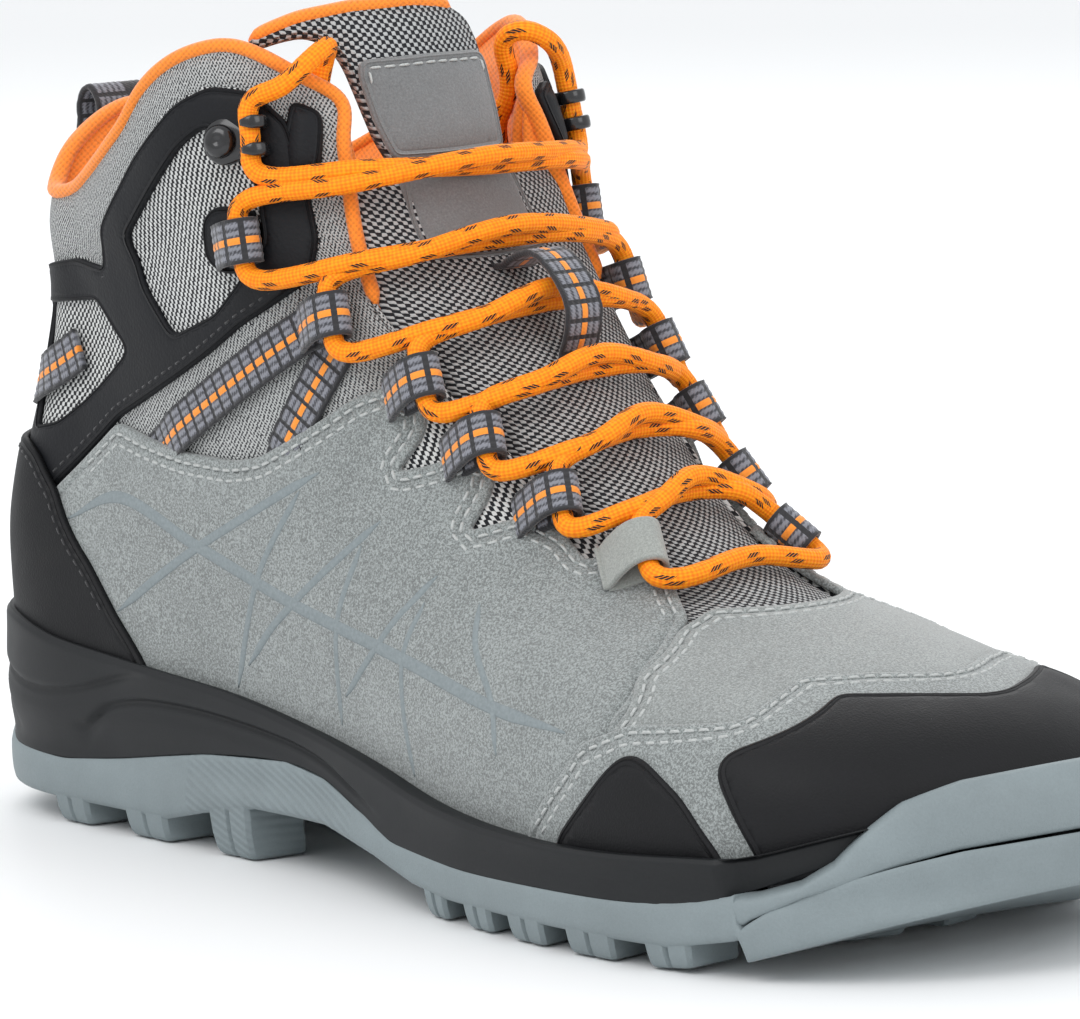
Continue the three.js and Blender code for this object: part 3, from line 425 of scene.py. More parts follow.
class Maker:
    """A material under construction: its node tree, its Principled shader, and short ways to add nodes."""

    def __init__(self, name, roughness, **sockets):
        self.material = bpy.data.materials.new(name)
        self.material.use_nodes = True
        self.tree = self.material.node_tree
        self.shader = self.tree.nodes["Principled BSDF"]
        self.shader.inputs["Roughness"].default_value = roughness
        for socket, value in sockets.items():
            self.shader.inputs[socket.replace("_", " ")].default_value = value

    def node(self, kind, links=(), **settings):
        """Adds a node; links maps input names or numbers to sockets or values."""
        made = self.tree.nodes.new(kind)
        for key, value in settings.items():
            setattr(made, key, value)
        for key, value in dict(links).items():
            if isinstance(value, bpy.types.NodeSocket):
                self.tree.links.new(value, made.inputs[key])
            else:
                made.inputs[key].default_value = value
        return made

    def math(self, operation, a, b=0.0, c=0.0):
        """The socket of a Math node."""
        return self.node("ShaderNodeMath", {0: a, 1: b, 2: c}, operation=operation).outputs[0]

    def place(self, uv=None):
        """Object coordinates in millimetres, or a UV map's: the whole vector, its x and its y."""
        if uv:
            source = self.node("ShaderNodeUVMap", uv_map=uv).outputs["UV"]
            scale = 1.0
        else:
            source = self.node("ShaderNodeTexCoord").outputs["Object"]
            scale = 1000.0
        mapped = self.node("ShaderNodeMapping", {"Vector": source, "Scale": (scale,) * 3})
        split = self.node("ShaderNodeSeparateXYZ", {0: mapped.outputs[0]})
        return mapped.outputs[0], split.outputs[0], split.outputs[1]

    def noise(self, place, scale, detail=3.0, roughness=0.6):
        """Noise between 0 and 1; scale is in patches a millimetre."""
        found = self.node("ShaderNodeTexNoise", {
            "Vector": place, "Scale": scale, "Detail": detail, "Roughness": roughness})
        return found.outputs["Fac"]

    def ramp(self, factor, stops):
        """A colour band from (position, colour) stops."""
        made = self.node("ShaderNodeValToRGB", {0: factor})
        band = made.color_ramp.elements
        while len(band) < len(stops):
            band.new(0.5)
        for element, (position, colour) in zip(band, stops):
            element.position = position
            element.color = (*colour, 1)
        return made.outputs[0]

    def mix(self, factor, a, b):
        """Colour a where the factor is 0 and colour b where it is 1."""
        made = self.node("ShaderNodeMix", data_type="RGBA")
        for socket, value in ((made.inputs[0], factor), (made.inputs[6], a), (made.inputs[7], b)):
            if isinstance(value, bpy.types.NodeSocket):
                self.tree.links.new(value, socket)
            else:
                socket.default_value = (*value, 1) if isinstance(value, tuple) else value
        return made.outputs[2]

    def finish(self, colour=None, height=None, bump=0.4, distance=0.0003, roughness=None):
        """Links the colour, the bump and the roughness to the shader and gives the material back."""
        if isinstance(colour, tuple):
            self.shader.inputs["Base Color"].default_value = (*colour, 1)
        elif colour is not None:
            self.tree.links.new(colour, self.shader.inputs["Base Color"])
        if height is not None:
            bumped = self.node("ShaderNodeBump", {"Height": height, "Strength": bump, "Distance": distance})
            self.tree.links.new(bumped.outputs[0], self.shader.inputs["Normal"])
        if roughness is not None:
            self.tree.links.new(roughness, self.shader.inputs["Roughness"])
        return self.material


def cord_material():
    """Braided strands as slanted waves, with two dark zig-zag flecks side by side in every repeat."""
    maker = Maker("lace_braid", 0.62, Sheen_Weight=0.04, Specular_IOR_Level=0.25)
    _, run, turn = maker.place(uv="lace_uv")
    fleck_pitch = 9.6
    # Beside each dark fleck a second one starts a little further on, at another place round the cord.
    flecks = 0
    for start, middle in ((0.0, 0.24), (1.5, 0.42), (4.8, 0.70), (6.3, 0.88)):
        step = maker.math("MULTIPLY", maker.math("SUBTRACT", turn, middle), 9.0)
        local = maker.math("MODULO", maker.math("ADD", maker.math("SUBTRACT", run, start), step), fleck_pitch)
        inside = maker.math("LESS_THAN", local, 2.5)
        near = maker.math("LESS_THAN", maker.math("ABSOLUTE", maker.math("SUBTRACT", turn, middle)), 0.07)
        strand = maker.math("GREATER_THAN", maker.math("SINE", maker.math("MULTIPLY", local, 7.6)), -0.7)
        fleck = maker.math("MULTIPLY", maker.math("MULTIPLY", inside, near), strand)
        flecks = maker.math("ADD", flecks, fleck)
    waves_one = maker.math("SINE", maker.math("MULTIPLY_ADD", turn, 26.0, maker.math("MULTIPLY", run, 3.8)))
    waves_two = maker.math("SINE", maker.math("MULTIPLY_ADD", turn, 26.0, maker.math("MULTIPLY", run, -3.8)))
    braided = maker.math("MULTIPLY", waves_one, waves_two)
    place, _, _ = maker.place()
    shade = maker.math("MULTIPLY_ADD", braided, 0.35, maker.noise(place, 0.9))
    orange = maker.ramp(shade, [(0.25, (0.90, 0.19, 0.002)), (0.75, (1.0, 0.33, 0.004))])
    colour = maker.mix(maker.math("MINIMUM", flecks, 1.0), orange, (0.018, 0.012, 0.012))
    return maker.finish(colour, braided, 0.35, 0.00025)


lace_braid = cord_material()
finish_piece(lace, "boot", "lace_cord", lace_braid, "lace")

AGLET_LENGTH = 22
tip_maker = Maker("tip_sleeve", 0.25, Coat_Weight=0.4)
tip_place, _, _ = tip_maker.place()
tip_shade = tip_maker.ramp(tip_maker.noise(tip_place, 0.8), [
    (0.3, (0.015, 0.015, 0.016)), (0.8, (0.04, 0.04, 0.042))])
tip_sleeve = tip_maker.finish(tip_shade)
for name, tucked_end in (("lateral", first_tail), ("medial", second_tail)):
    before, end = tucked_end[-2:]
    direction = (end - before) / np.linalg.norm(end - before)
    # A turned profile: a sleeve that swells a little past the crimp and closes to a rounded point.
    stations = np.array([0, 0, 0.6, 1.2, 8, 19, 21, 21.8, AGLET_LENGTH, AGLET_LENGTH])
    radii = np.array([0, 1.6, 1.85, 1.7, 1.65, 1.6, 1.45, 1.0, 0.3, 0])
    _, first_axis, second_axis = carried_frames(np.array([end, end + direction]))
    turn = 2 * np.pi * np.arange(16) / 16
    rings = end + (0.3 + stations)[:, None, None] * direction + radii[:, None, None] * (
        np.cos(turn)[None, :, None] * first_axis[0] + np.sin(turn)[None, :, None] * second_axis[0])
    tip = add_piece("lace_tip_" + name + "_sleeve", rings.reshape(-1, 3), ring_faces(len(stations), 16))
    finish_piece(tip, "boot", "lace_tips", tip_sleeve, "lace_tip_" + name)

# ---------------------------------------------------------------- quarter cloth
# The woven body of the upper, one cloth from throat to throat round the heel: silver mesh over a dark
# ground, with a coarser black and white weave let in at the ankle and under the lace loops.
MIDSOLE_TOP = [[-170, 41], [-133, 41], [-110, 37.5], [-81, 35], [-55, 33], [-29, 29.5], [-4, 26], [20, 22],
               [45, 20], [70, 20], [95, 21.5], [112, 23.5], [170, 44]]
# Side views of the cloth's edge: up the throat, and on over the collar to the heel.
THROAT = [(61, 57), (50, 62), (40, 68), (28, 75), (13, 84), (-1, 93.5), (-13, 103), (-23, 112), (-30, 124),
          (-35, 137), (-37.3, 143.5), (-39, 150)]
TOPLINE = [(-45, 155), (-57, 161), (-64, 160), (-71, 157), (-79, 151.5), (-88, 143), (-102, 134),
           (-114, 128.5), (-124, 128), (-130, 136), (-133, 142)]
# The chart is a flat map of the last: across, the turn from the heel or from the ridge; up, the height.
CHART_SCALE = 300.0
HEEL, RIDGE = "heel", "ridge"
level_stops = np.linspace(9, 184, 1200)
ridge_slopes = np.gradient(along(FRONT, level_stops), level_stops)
ridge_run = np.concatenate([[0], np.cumsum(np.hypot(1, ridge_slopes)[1:] * np.diff(level_stops))])
girth_stops = np.linspace(0, 1, 400)
girth_line = last_point(girth_stops, 90.0, LATERAL)
girth_run = run_along(girth_line)


def chart_of(points, centre):
    """A point's turn, signed by its side and counted from the heel or from the ridge, beside its height."""
    x, y, z = np.asarray(points, float).T
    side = np.where(y < centre_line(x), -1, 1)
    back = along(BACK, z)
    cosine = 1 - 2 * (x - back) / (along(FRONT, z) - back)
    theta = theta_at(x, z)
    for _ in range(3):
        theta = np.arctan2(np.abs(y - centre_line(x)) / width_factor(theta, z, side), cosine) / np.pi
    return np.stack([side * CHART_SCALE * (theta if centre == HEEL else 1 - theta), z], -1)


def from_chart(chart, centre, height=0.0):
    """The point of the last under a place in the chart, and the normal there."""
    turn, z = np.asarray(chart, float)[..., 0] / CHART_SCALE, np.asarray(chart, float)[..., 1]
    side = np.where(turn < 0, -1, 1)
    theta = np.clip(np.abs(turn) if centre == HEEL else 1 - np.abs(turn), 0, 1)
    normal = last_normal(theta, z, side)
    return last_point(theta, z, side) + np.asarray(height)[..., None] * normal, normal


def wall(side, pairs, centre=HEEL):
    """Side-view points (x, z) of one side, in the chart."""
    x, z = np.asarray(pairs, float).T
    theta = theta_at(x, z)
    return np.stack([side * CHART_SCALE * (theta if centre == HEEL else 1 - theta), z], -1)


def both_walls(pairs, centre=HEEL):
    """A side-view line on the outer side, then its mirror on the inner side the other way round."""
    return np.vstack([wall(LATERAL, pairs, centre), wall(MEDIAL, pairs[::-1], centre)])


def inside(places, loops):
    """Whether each place of the chart lies in an odd number of the loops."""
    odd = np.zeros(len(places), bool)
    for loop in loops:
        start, end = loop, np.roll(loop, -1, axis=0)
        run = np.where(end[:, 1] == start[:, 1], 1e-9, end[:, 1] - start[:, 1])
        for rows in np.array_split(np.arange(len(places)), max(1, len(places) // 4000)):
            u, v = places[rows, 0][:, None], places[rows, 1][:, None]
            crosses = (start[:, 1] > v) != (end[:, 1] > v)
            hit = u < start[:, 0] + (v - start[:, 1]) / run * (end[:, 0] - start[:, 0])
            odd[rows] ^= (np.sum(crosses & hit, axis=1) % 2).astype(bool)
    return odd


def edge_loop(keys, centre, spacing, passes):
    """A closed edge on the last: straight in the chart between its keys, evenly spaced, its corners eased
    by averaging each point with its neighbours, with the normal at each point."""
    keys = np.vstack([keys, keys[:1]])
    shares = np.linspace(0, 1, 30, endpoint=False)[:, None]
    dense = np.vstack([start + (end - start) * shares for start, end in zip(keys, keys[1:])])
    line, _ = from_chart(dense, centre)
    line = np.vstack([line, line[:1]])
    run = run_along(line)
    stops = np.linspace(0, run[-1], max(12, int(run[-1] / spacing)), endpoint=False)
    points = np.stack([np.interp(stops, run, line[:, k]) for k in range(3)], -1)
    for _ in range(passes):
        points = (np.roll(points, 1, axis=0) + 2 * points + np.roll(points, -1, axis=0)) / 4
    return settle(points)


def edges_of(outlines, centre, spacing=1.2, passes=3):
    """The loops of a piece: points, normals and the directions along the surface into the piece."""
    loops = [edge_loop(keys, centre, spacing, passes) for keys in outlines]
    charts = [chart_of(points, centre) for points, _ in loops]
    edges = []
    for points, normals in loops:
        along_edge = np.roll(points, -1, axis=0) - np.roll(points, 1, axis=0)
        inward = np.cross(normals, along_edge)
        inward /= np.linalg.norm(inward, axis=1, keepdims=True)
        if np.mean(inside(chart_of(points + 1.5 * inward, centre), charts)) < 0.5:
            inward = -inward
        edges.append((points, normals, inward))
    return edges, charts


def nearest_on(points, edges):
    """Each point's distance from the nearest point of the edges, and that point's inward direction."""
    line = np.vstack([edge for edge, _, _ in edges])
    inward = np.vstack([directions for _, _, directions in edges])
    distance, found = np.empty(len(points)), np.empty(len(points), int)
    for rows in np.array_split(np.arange(len(points)), max(1, len(points) // 3000)):
        gap = np.sum((points[rows][:, None] - line[None]) ** 2, axis=2)
        found[rows] = np.argmin(gap, axis=1)
        distance[rows] = np.sqrt(gap[np.arange(len(rows)), found[rows]])
    return distance, inward[found]


def trimmed_sheet(edges, charts, centre, inset, step, levels):
    """A grid of the chart cut along the line that lies inset in from the edges. Cells across that line are
    cut where it crosses their sides, by a polygon for each of the sixteen ways their corners can fall, and
    grid points close to the line are first moved on to it."""
    reach = np.vstack(charts)
    low, high = reach.min(0) - 2, reach.max(0) + 2
    if levels == RIDGE:
        run = np.interp([low[1], high[1]], level_stops, ridge_run)
        heights = np.interp(np.arange(run[0], run[1], step), ridge_run, level_stops)
    else:
        heights = np.arange(low[1], high[1], step)
    turns = np.arange(low[0], high[0], step)
    rows, columns = len(heights), len(turns)
    chart = np.stack(np.broadcast_arrays(turns[None], heights[:, None]), -1).reshape(-1, 2)
    limit = CHART_SCALE * 0.9999
    chart[:, 0] = np.clip(chart[:, 0], -limit, limit)
    points, _ = from_chart(chart, centre)
    distance, inward = nearest_on(points, edges)
    field = np.where(inside(chart, charts), distance, -distance) - inset
    near = np.abs(field) < 0.3 * step
    points[near] -= field[near, None] * inward[near]
    field[near] = 0
    within = (field >= 0).reshape(rows, columns)
    count = rows * columns
    ids = np.arange(count).reshape(rows, columns)
    f = field.reshape(rows, columns)
    grid = points.reshape(rows, columns, 3)
    with np.errstate(divide="ignore", invalid="ignore"):
        share_u = np.nan_to_num(np.clip(f[:, :-1] / (f[:, :-1] - f[:, 1:]), 0, 1), nan=0.5)
        share_v = np.nan_to_num(np.clip(f[:-1] / (f[:-1] - f[1:]), 0, 1), nan=0.5)
    cut_u = grid[:, :-1] + share_u[..., None] * (grid[:, 1:] - grid[:, :-1])
    cut_v = grid[:-1] + share_v[..., None] * (grid[1:] - grid[:-1])
    ids_u = count + np.arange(cut_u[..., 0].size).reshape(rows, columns - 1)
    ids_v = ids_u[-1, -1] + 1 + np.arange(cut_v[..., 0].size).reshape(rows - 1, columns)
    everything = np.vstack([points, cut_u.reshape(-1, 3), cut_v.reshape(-1, 3)])
    corners = np.stack([ids[:-1, :-1], ids[:-1, 1:], ids[1:, 1:], ids[1:, :-1],
                        ids_u[:-1], ids_v[:, 1:], ids_u[1:], ids_v[:, :-1]], -1)
    flags = np.stack([within[:-1, :-1], within[:-1, 1:], within[1:, 1:], within[1:, :-1]], -1)
    case = flags @ np.array([1, 2, 4, 8])
    faces = []
    for kind in range(1, 16):
        ring = []
        for k in range(4):
            if kind >> k & 1:
                ring.append(k)
            if (kind >> k & 1) != (kind >> (k + 1) % 4 & 1):
                ring.append(4 + k)
        faces += corners[case == kind][:, ring].tolist()
    used = np.unique(np.concatenate([np.asarray(face) for face in faces]))
    number = np.full(len(everything), -1)
    number[used] = np.arange(len(used))
    faces = [[int(number[i]) for i in face] for face in faces]
    return everything[used], faces


def two_skins(outer, inner, faces):
    """A closed shell from one sheet of faces laid on two sets of points, with a rim along its open edges."""
    count = len(outer)
    sides = {}
    for face in faces:
        for a, b in zip(face, face[1:] + face[:1]):
            sides[(a, b)] = True
    rim = [(b, a, a + count, b + count) for a, b in sides if (b, a) not in sides]
    return np.vstack([outer, inner]), faces + [[i + count for i in reversed(face)] for face in faces] + rim


def rounded_border(top, bottom, width=2.3, dip=0.4):
    """A border's section as (distance in from the edge, height): a rounded edge, a crown and a sewn dip."""
    return [(0, bottom), (0, top - 0.7), (0.12, top - 0.35), (0.4, top - 0.1), (0.85, top),
            (width - 0.8, top), (width - 0.35, top - 0.4 * dip), (width, top - dip),
            (width + 0.5, top - dip - 0.35), (width + 0.5, bottom)]


def ease(value):
    """Nought below 0, one above 1 and smooth between: 3t2 - 2t3."""
    t = np.clip(value, 0, 1)
    return t * t * (3 - 2 * t)


def no_swell(points, distance):
    """A layer that lies flat."""
    return np.zeros(len(points))


def panel(name, outlines, centre, top, bottom, width=2.3, dip=0.4, step=1.5, levels="wall", passes=3,
          swell=no_swell):
    """A layer of the upper, lying between two heights over the last: a sheet trimmed a little inside its
    outlines, and round each of them a border swept along the edge, whose inner lip lies over the sheet.
    swell gives the extra height at each point from the point and its distance in from the edge."""
    edges, charts = edges_of(outlines, centre, passes=passes)
    section = np.array(rounded_border(top, bottom, width, dip))
    inset = section[:, 0].max() - 0.7
    sheet, faces = trimmed_sheet(edges, charts, centre, inset, step, levels)
    distance, _ = nearest_on(sheet, edges)
    lift = top - dip - 0.12 + (dip + 0.12) * ease(distance - inset) + swell(sheet, distance)
    outer, _ = settle(sheet, lift)
    inner, _ = settle(sheet, bottom)
    points, faces = two_skins(outer, inner, faces)
    for line, _, inward in edges:
        ring = (line[:, None] + section[None, :, :1] * inward[:, None]).reshape(-1, 3)
        distances, heights = np.tile(section, (len(line), 1)).T
        border, _ = settle(ring, heights + swell(ring, distances) * (heights > bottom))
        border_faces = ring_faces(len(line), len(section), closed=True)
        faces += [[i + len(points) for i in face] for face in border_faces]
        points = np.vstack([points, border])
    return add_piece(name, points, faces), edges


def add_cloth_uv(piece, centre):
    """Cloth coordinates in millimetres: round the foot and up it, or across the tongue and up the ridge."""
    count = len(piece.data.vertices)
    points = np.empty(count * 3)
    piece.data.vertices.foreach_get("co", points)
    points = points.reshape(-1, 3) * 1000 - ORIGIN_SHIFT
    chart = chart_of(points, centre)
    if centre == HEEL:
        turn = np.sign(chart[:, 0]) * np.interp(np.abs(chart[:, 0]) / CHART_SCALE, girth_stops, girth_run)
        uv = np.stack([turn, chart[:, 1]], -1)
    else:
        uv = np.stack([points[:, 1], np.interp(chart[:, 1], level_stops, ridge_run)], -1)
    add_uv(piece, "cloth_uv", uv)


def face_middles(piece):
    """The middle of every face, back in the last's millimetres."""
    middles = np.empty(len(piece.data.polygons) * 3)
    piece.data.polygons.foreach_get("center", middles)
    return middles.reshape(-1, 3) * 1000 - ORIGIN_SHIFT


def weave(name, pale, dark, cell, balance, grain):
    """Two threads: the product of two waves makes a check of pale tufts over a dark ground, a third wave
    across the diagonal draws them into slanted teeth, and noise makes the threads uneven. cell is the
    pattern's repeat in millimetres, balance favours the pale thread and grain is the unevenness."""
    maker = Maker(name, 0.85, Sheen_Weight=0.08, Specular_IOR_Level=0.3)
    place, u, v = maker.place(uv="cloth_uv")
    wobble = maker.math("MULTIPLY", maker.math("SUBTRACT", maker.noise(place, 0.7, 2.0), 0.5), 0.5)
    a = maker.math("MULTIPLY", maker.math("ADD", u, wobble), 2 * np.pi / cell)
    b = maker.math("MULTIPLY", maker.math("ADD", v, wobble), 2 * np.pi / cell)
    tufts = maker.math("MULTIPLY", maker.math("SINE", a), maker.math("SINE", b))
    height = maker.math("MULTIPLY_ADD", maker.math("SINE", maker.math("ADD", a, b)), 0.25, tufts)
    threads = maker.math("ADD", maker.math("MULTIPLY_ADD", height, 0.5, 0.5), balance)
    centred = maker.math("SUBTRACT", threads, grain / 2)
    uneven = maker.math("MULTIPLY_ADD", maker.noise(place, 2.2, 2.0), grain, centred)
    colour = maker.ramp(uneven, [(0.44, dark), (0.56, pale)])
    return maker.finish(colour, height, 0.55, 0.0003)


SOLE_HIDE = 6.0   # how far the upper runs down inside the sole's cup
cup_stops = np.array([-150, -120, -90, -60, -30, 0, 30, 52, 66])
cup_line = [(x, along(MIDSOLE_TOP, x) - SOLE_HIDE) for x in cup_stops]
cloth_top = [(66, 50), *THROAT, *TOPLINE, (-170, 142)]
cloth_outline = np.vstack([both_walls(cloth_top), both_walls(cup_line[::-1])[::-1]])
(cloth_edge, _, _), = edges_of([cloth_outline], HEEL)[0]
topline_points = cloth_edge[cloth_edge[:, 2] > 105]


def collar_swell(points, _):
    """The padded collar: a half wave from the topline down, fading towards the instep and the heel cup."""
    x, _, z = points.T
    high = np.clip((z - 108) / 14, 0, 1)
    behind = np.clip((-36 - x) / 12, 0, 1)
    distance = np.concatenate([
        np.sqrt(np.min(np.sum((rows[:, None] - topline_points) ** 2, axis=2), axis=1))
        for rows in np.array_split(points, max(1, len(points) // 3000))])
    return 1.7 * high * behind * np.sin(np.pi * np.clip(distance / 24, 0, 1)) ** 0.8


quarter_cloth, _ = panel("quarter_cloth", [cloth_outline], HEEL, 0.0, -1.1, width=1.6, dip=0.0,
                         swell=collar_swell)
add_cloth_uv(quarter_cloth, HEEL)
silver_mesh = weave("silver_mesh", (0.46, 0.47, 0.465), (0.035, 0.037, 0.04), 1.1, 0.08, 1.8)
ankle_weave = weave("ankle_weave", (0.62, 0.63, 0.62), (0.010, 0.011, 0.014), 1.7, -0.02, 0.5)
quarter_cloth.data.materials.append(silver_mesh)
quarter_cloth.data.materials.append(ankle_weave)
# The coarser weave shows inside the ankle frame and under the lowest loops.
FRAME_OUTER = [(-119, 66), (-95, 84), (-53, 106), (-36.5, 116), (-36.5, 124), (-40, 134), (-45, 146),
               (-52, 152), (-60, 153), (-67, 149.5), (-80, 138), (-95, 123.5), (-98, 114), (-110, 115),
               (-126, 112), (-170, 110), (-170, 66)]
NOTCH = [(-16, 60), (-16, 97), (-8, 104), (66, 104), (66, 40)]
side_view = face_middles(quarter_cloth)[:, [0, 2]]
dark_zones = [inside(side_view, [np.array(zone, float)]) for zone in (FRAME_OUTER, NOTCH)]
quarter_cloth.data.polygons.foreach_set("material_index", np.any(dark_zones, axis=0).astype(np.int32))
finish_piece(quarter_cloth, "boot", "upper_textile", silver_mesh,
             "quarter_textile_lateral", "quarter_textile_medial")

# ---------------------------------------------------------------- suede quarters, vamp and toe rand
# Brushed grey split leather, 1.5 mm thick, cut in scallops under the lace loops and sewn with two rows of
# pale thread. The vamp overlaps the quarters and the rand overlaps both.
QUARTER_TOP = [(-119, 65), (-95, 83), (-84, 81), (-70, 79.3), (-56, 79), (-47, 80.5), (-36, 86), (-23, 94),
               (-15, 97), (-7.5, 94), (-6, 88.5), (-10, 80.5), (-2, 82.5), (4, 85.5), (9.5, 84), (11, 78.5),
               (9.5, 70.5), (19, 74), (28, 70.5), (34, 66), (37.5, 69.5), (42, 69.5), (50, 63.5), (60, 57.5)]
VAMP_SEAM = [(62, 55.5), (67, 50), (69.5, 42)]


def suede_material(name, shade, mottle):
    """Brushed nap: pale and dark fibres at a third of a millimetre, over slow patches of brushing."""
    maker = Maker(name, 0.92, Sheen_Weight=0.35, Sheen_Roughness=0.55, Specular_IOR_Level=0.25)
    place, _, _ = maker.place()
    grain = maker.noise(place, 2.2, 3.0, 0.8)
    patches = maker.noise(place, 0.045, 3.0, 0.55)
    mixed = maker.math("MULTIPLY_ADD", maker.math("SUBTRACT", grain, 0.5), mottle,
                       maker.math("MULTIPLY_ADD", patches, 0.35, 0.33))
    dark, pale = np.array(shade) * 0.62, np.clip(np.array(shade) * 1.5, 0, 1)
    colour = maker.ramp(mixed, [(0.2, tuple(dark)), (0.5, tuple(shade)), (0.82, tuple(pale))])
    return maker.finish(colour, grain, 0.35, 0.00035)


def stitches(name, rows, thread, body, slot, pitch=3.1, length=2.4, thickness=0.34):
    """Short sewn threads: each is a five-sided bead, fat in the middle and sunk into the leather at both
    ends, laid end to end along the rows of points."""
    sides = 5
    stations = np.array([-0.5, -0.3, 0.3, 0.5])
    radii = np.array([0.45, 1.0, 1.0, 0.45]) * thickness
    sinks = np.array([-0.32, 0.0, 0.0, -0.32])
    turn = 2 * np.pi * np.arange(sides) / sides
    template = ring_faces(len(stations), sides)
    points, faces = [], []
    for line, normals in rows:
        run = run_along(line)
        middles_along = np.arange(pitch / 2, run[-1] - pitch / 3, pitch)
        place = np.stack([np.interp(middles_along, run, line[:, k]) for k in range(3)], -1)
        ahead = np.stack([np.interp(middles_along + 0.8, run, line[:, k]) for k in range(3)], -1)
        normal = np.stack([np.interp(middles_along, run, normals[:, k]) for k in range(3)], -1)
        direction = ahead - place
        direction /= np.linalg.norm(direction, axis=1, keepdims=True) + 1e-9
        across = np.cross(direction, normal)
        ring = (place[:, None, None] + (stations * length)[None, :, None, None] * direction[:, None, None]
                + sinks[None, :, None, None] * normal[:, None, None]
                + radii[None, :, None, None] * (np.cos(turn)[None, None, :, None] * across[:, None, None]
                                                + np.sin(turn)[None, None, :, None] * normal[:, None, None]))
        for k in range(len(place)):
            faces += [[i + len(points) * len(stations) * sides for i in face] for face in template]
            points.append(ring[k].reshape(-1, 3))
    finish_piece(add_piece(name, np.vstack(points), faces, recalculate=False), body, slot, thread)


def sewn_rows(edges, insets, height, keep):
    """Rows of sewing that follow a piece's edges, this far in, wherever keep(points) holds."""
    rows = []
    for line, _, inward in edges:
        kept = keep(line)
        start = int(np.argmin(kept))
        order = (np.arange(len(line) + 1) + start) % len(line)
        for inset in insets:
            moved, normals = settle(line + inset * inward, height)
            block = []
            for i in order:
                if kept[i]:
                    block.append(i)
                if (not kept[i] or i == order[-1]) and len(block) > 4:
                    rows.append((moved[block], normals[block]))
                if not kept[i]:
                    block = []
    return rows


def thread_material(name, colour):
    """Sewing thread: fine fibres that change its shade and stand up a little."""
    maker = Maker(name, 0.7, Sheen_Weight=0.2)
    place, _, _ = maker.place()
    grain = maker.noise(place, 3.0, 2.0)
    shade = maker.ramp(grain, [(0.3, tuple(np.array(colour) * 0.7)), (0.7, colour)])
    return maker.finish(shade, grain, 0.3, 0.0002)


suede = suede_material("grey_suede_nap", (0.205, 0.222, 0.219), 4.2)
vamp_nap = suede_material("vamp_suede_nap", (0.215, 0.23, 0.225), 2.2)
pale_thread = thread_material("pale_thread", (0.50, 0.52, 0.51))
black_thread = thread_material("black_thread", (0.018, 0.018, 0.02))
SUEDE_TOP = 1.6   # heights of the layers' outer faces over the last
VAMP_TOP = 2.3
RAND_TOP = 3.0
for side, side_name in SIDES:
    bottom_line = [(x, along(MIDSOLE_TOP, x) - SOLE_HIDE) for x in (-125, -90, -60, -30, 0, 30, 56, 72)]
    outline = wall(side, [*bottom_line, *VAMP_SEAM[::-1], *QUARTER_TOP[::-1], (-125, 60)])
    name = "suede_quarter_" + side_name
    quarter, quarter_edges = panel(name + "_skin", [outline], HEEL, SUEDE_TOP, 0.15, dip=0.3)
    finish_piece(quarter, "boot", "grey_suede", suede, name)
    rows = sewn_rows(quarter_edges, (2.0, 4.1), SUEDE_TOP - 0.05,
                     lambda p: (p[:, 0] > -106) & (p[:, 0] < 59) & (p[:, 2] > 56))
    stitches("quarter_stitches_" + side_name, rows, pale_thread, "boot", "grey_suede")

# Rough places of the cap's and the rand's edges, from the sole up to the middle of the toe.
CAP_EDGE_3D = [(109, -41, 18), (107.4, -41.8, 23.3), (103.4, -43.4, 29.9), (98, -43, 35.6), (98, -41, 38.2),
               (104.5, -33.5, 41.5), (103.5, -20, 46.4), (110.8, -10.9, 46.1), (115.5, -3, 45.7), (118, 3, 45)]
RAND_EDGE_3D = [(48, -47, 14), (51, -47, 22.6), (58, -48, 30), (64, -46, 37.7), (74, -43, 41.5),
                (86.5, -39.5, 42.3), (95, -35.5, 43), (95, -28, 46), (93.4, -20, 49), (100.8, -9, 49.3),
                (106.5, 2, 48.5)]


def over_toe(points):
    """The chart places of a line over the toe, from the outer side to its middle, and of its mirror."""
    points = np.array(points, float)
    mirrored = points[::-1].copy()
    mirrored[:, 1] = 2 * centre_line(mirrored[:, 0]) - mirrored[:, 1]
    keep = mirrored[:, 1] > points[-1, 1] + 2
    settled, _ = settle(np.vstack([points, mirrored[keep]]))
    return chart_of(settled, RIDGE)


VAMP_EDGE = [(110, 34), (90, 33), (74, 34), (69.5, 40), (66.5, 48.5), (62, 55.3), (61.8, 58.4)]
vamp_outline = both_walls(VAMP_EDGE, RIDGE)
vamp, vamp_edges = panel("vamp_skin", [vamp_outline], RIDGE, VAMP_TOP, 0.2, dip=0.3, levels=RIDGE, step=1.4)
finish_piece(vamp, "boot", "grey_suede", vamp_nap, "vamp_suede")
rows = sewn_rows(vamp_edges, (2.0, 4.1), VAMP_TOP - 0.05, lambda p: (p[:, 0] < 78) & (p[:, 2] > 40))
stitches("vamp_stitches", rows, pale_thread, "boot", "grey_suede")

rand_bottom = [(46, 14), (80, 14), (110, 18), (132, 24), (170, 25)]
rand_outline = np.vstack([over_toe(RAND_EDGE_3D), both_walls(rand_bottom, RIDGE)[::-1]])
rand, rand_edges = panel("rand_skin", [rand_outline], RIDGE, RAND_TOP, 0.2, dip=0.3, levels=RIDGE, step=1.4)
finish_piece(rand, "boot", "grey_suede", suede, "toe_rand")
rows = sewn_rows(rand_edges, (1.9, 4.0), RAND_TOP - 0.05,
                 lambda p: p[:, 2] > along(MIDSOLE_TOP, p[:, 0]) + 3)
stitches("rand_stitches", rows, pale_thread, "boot", "grey_suede")

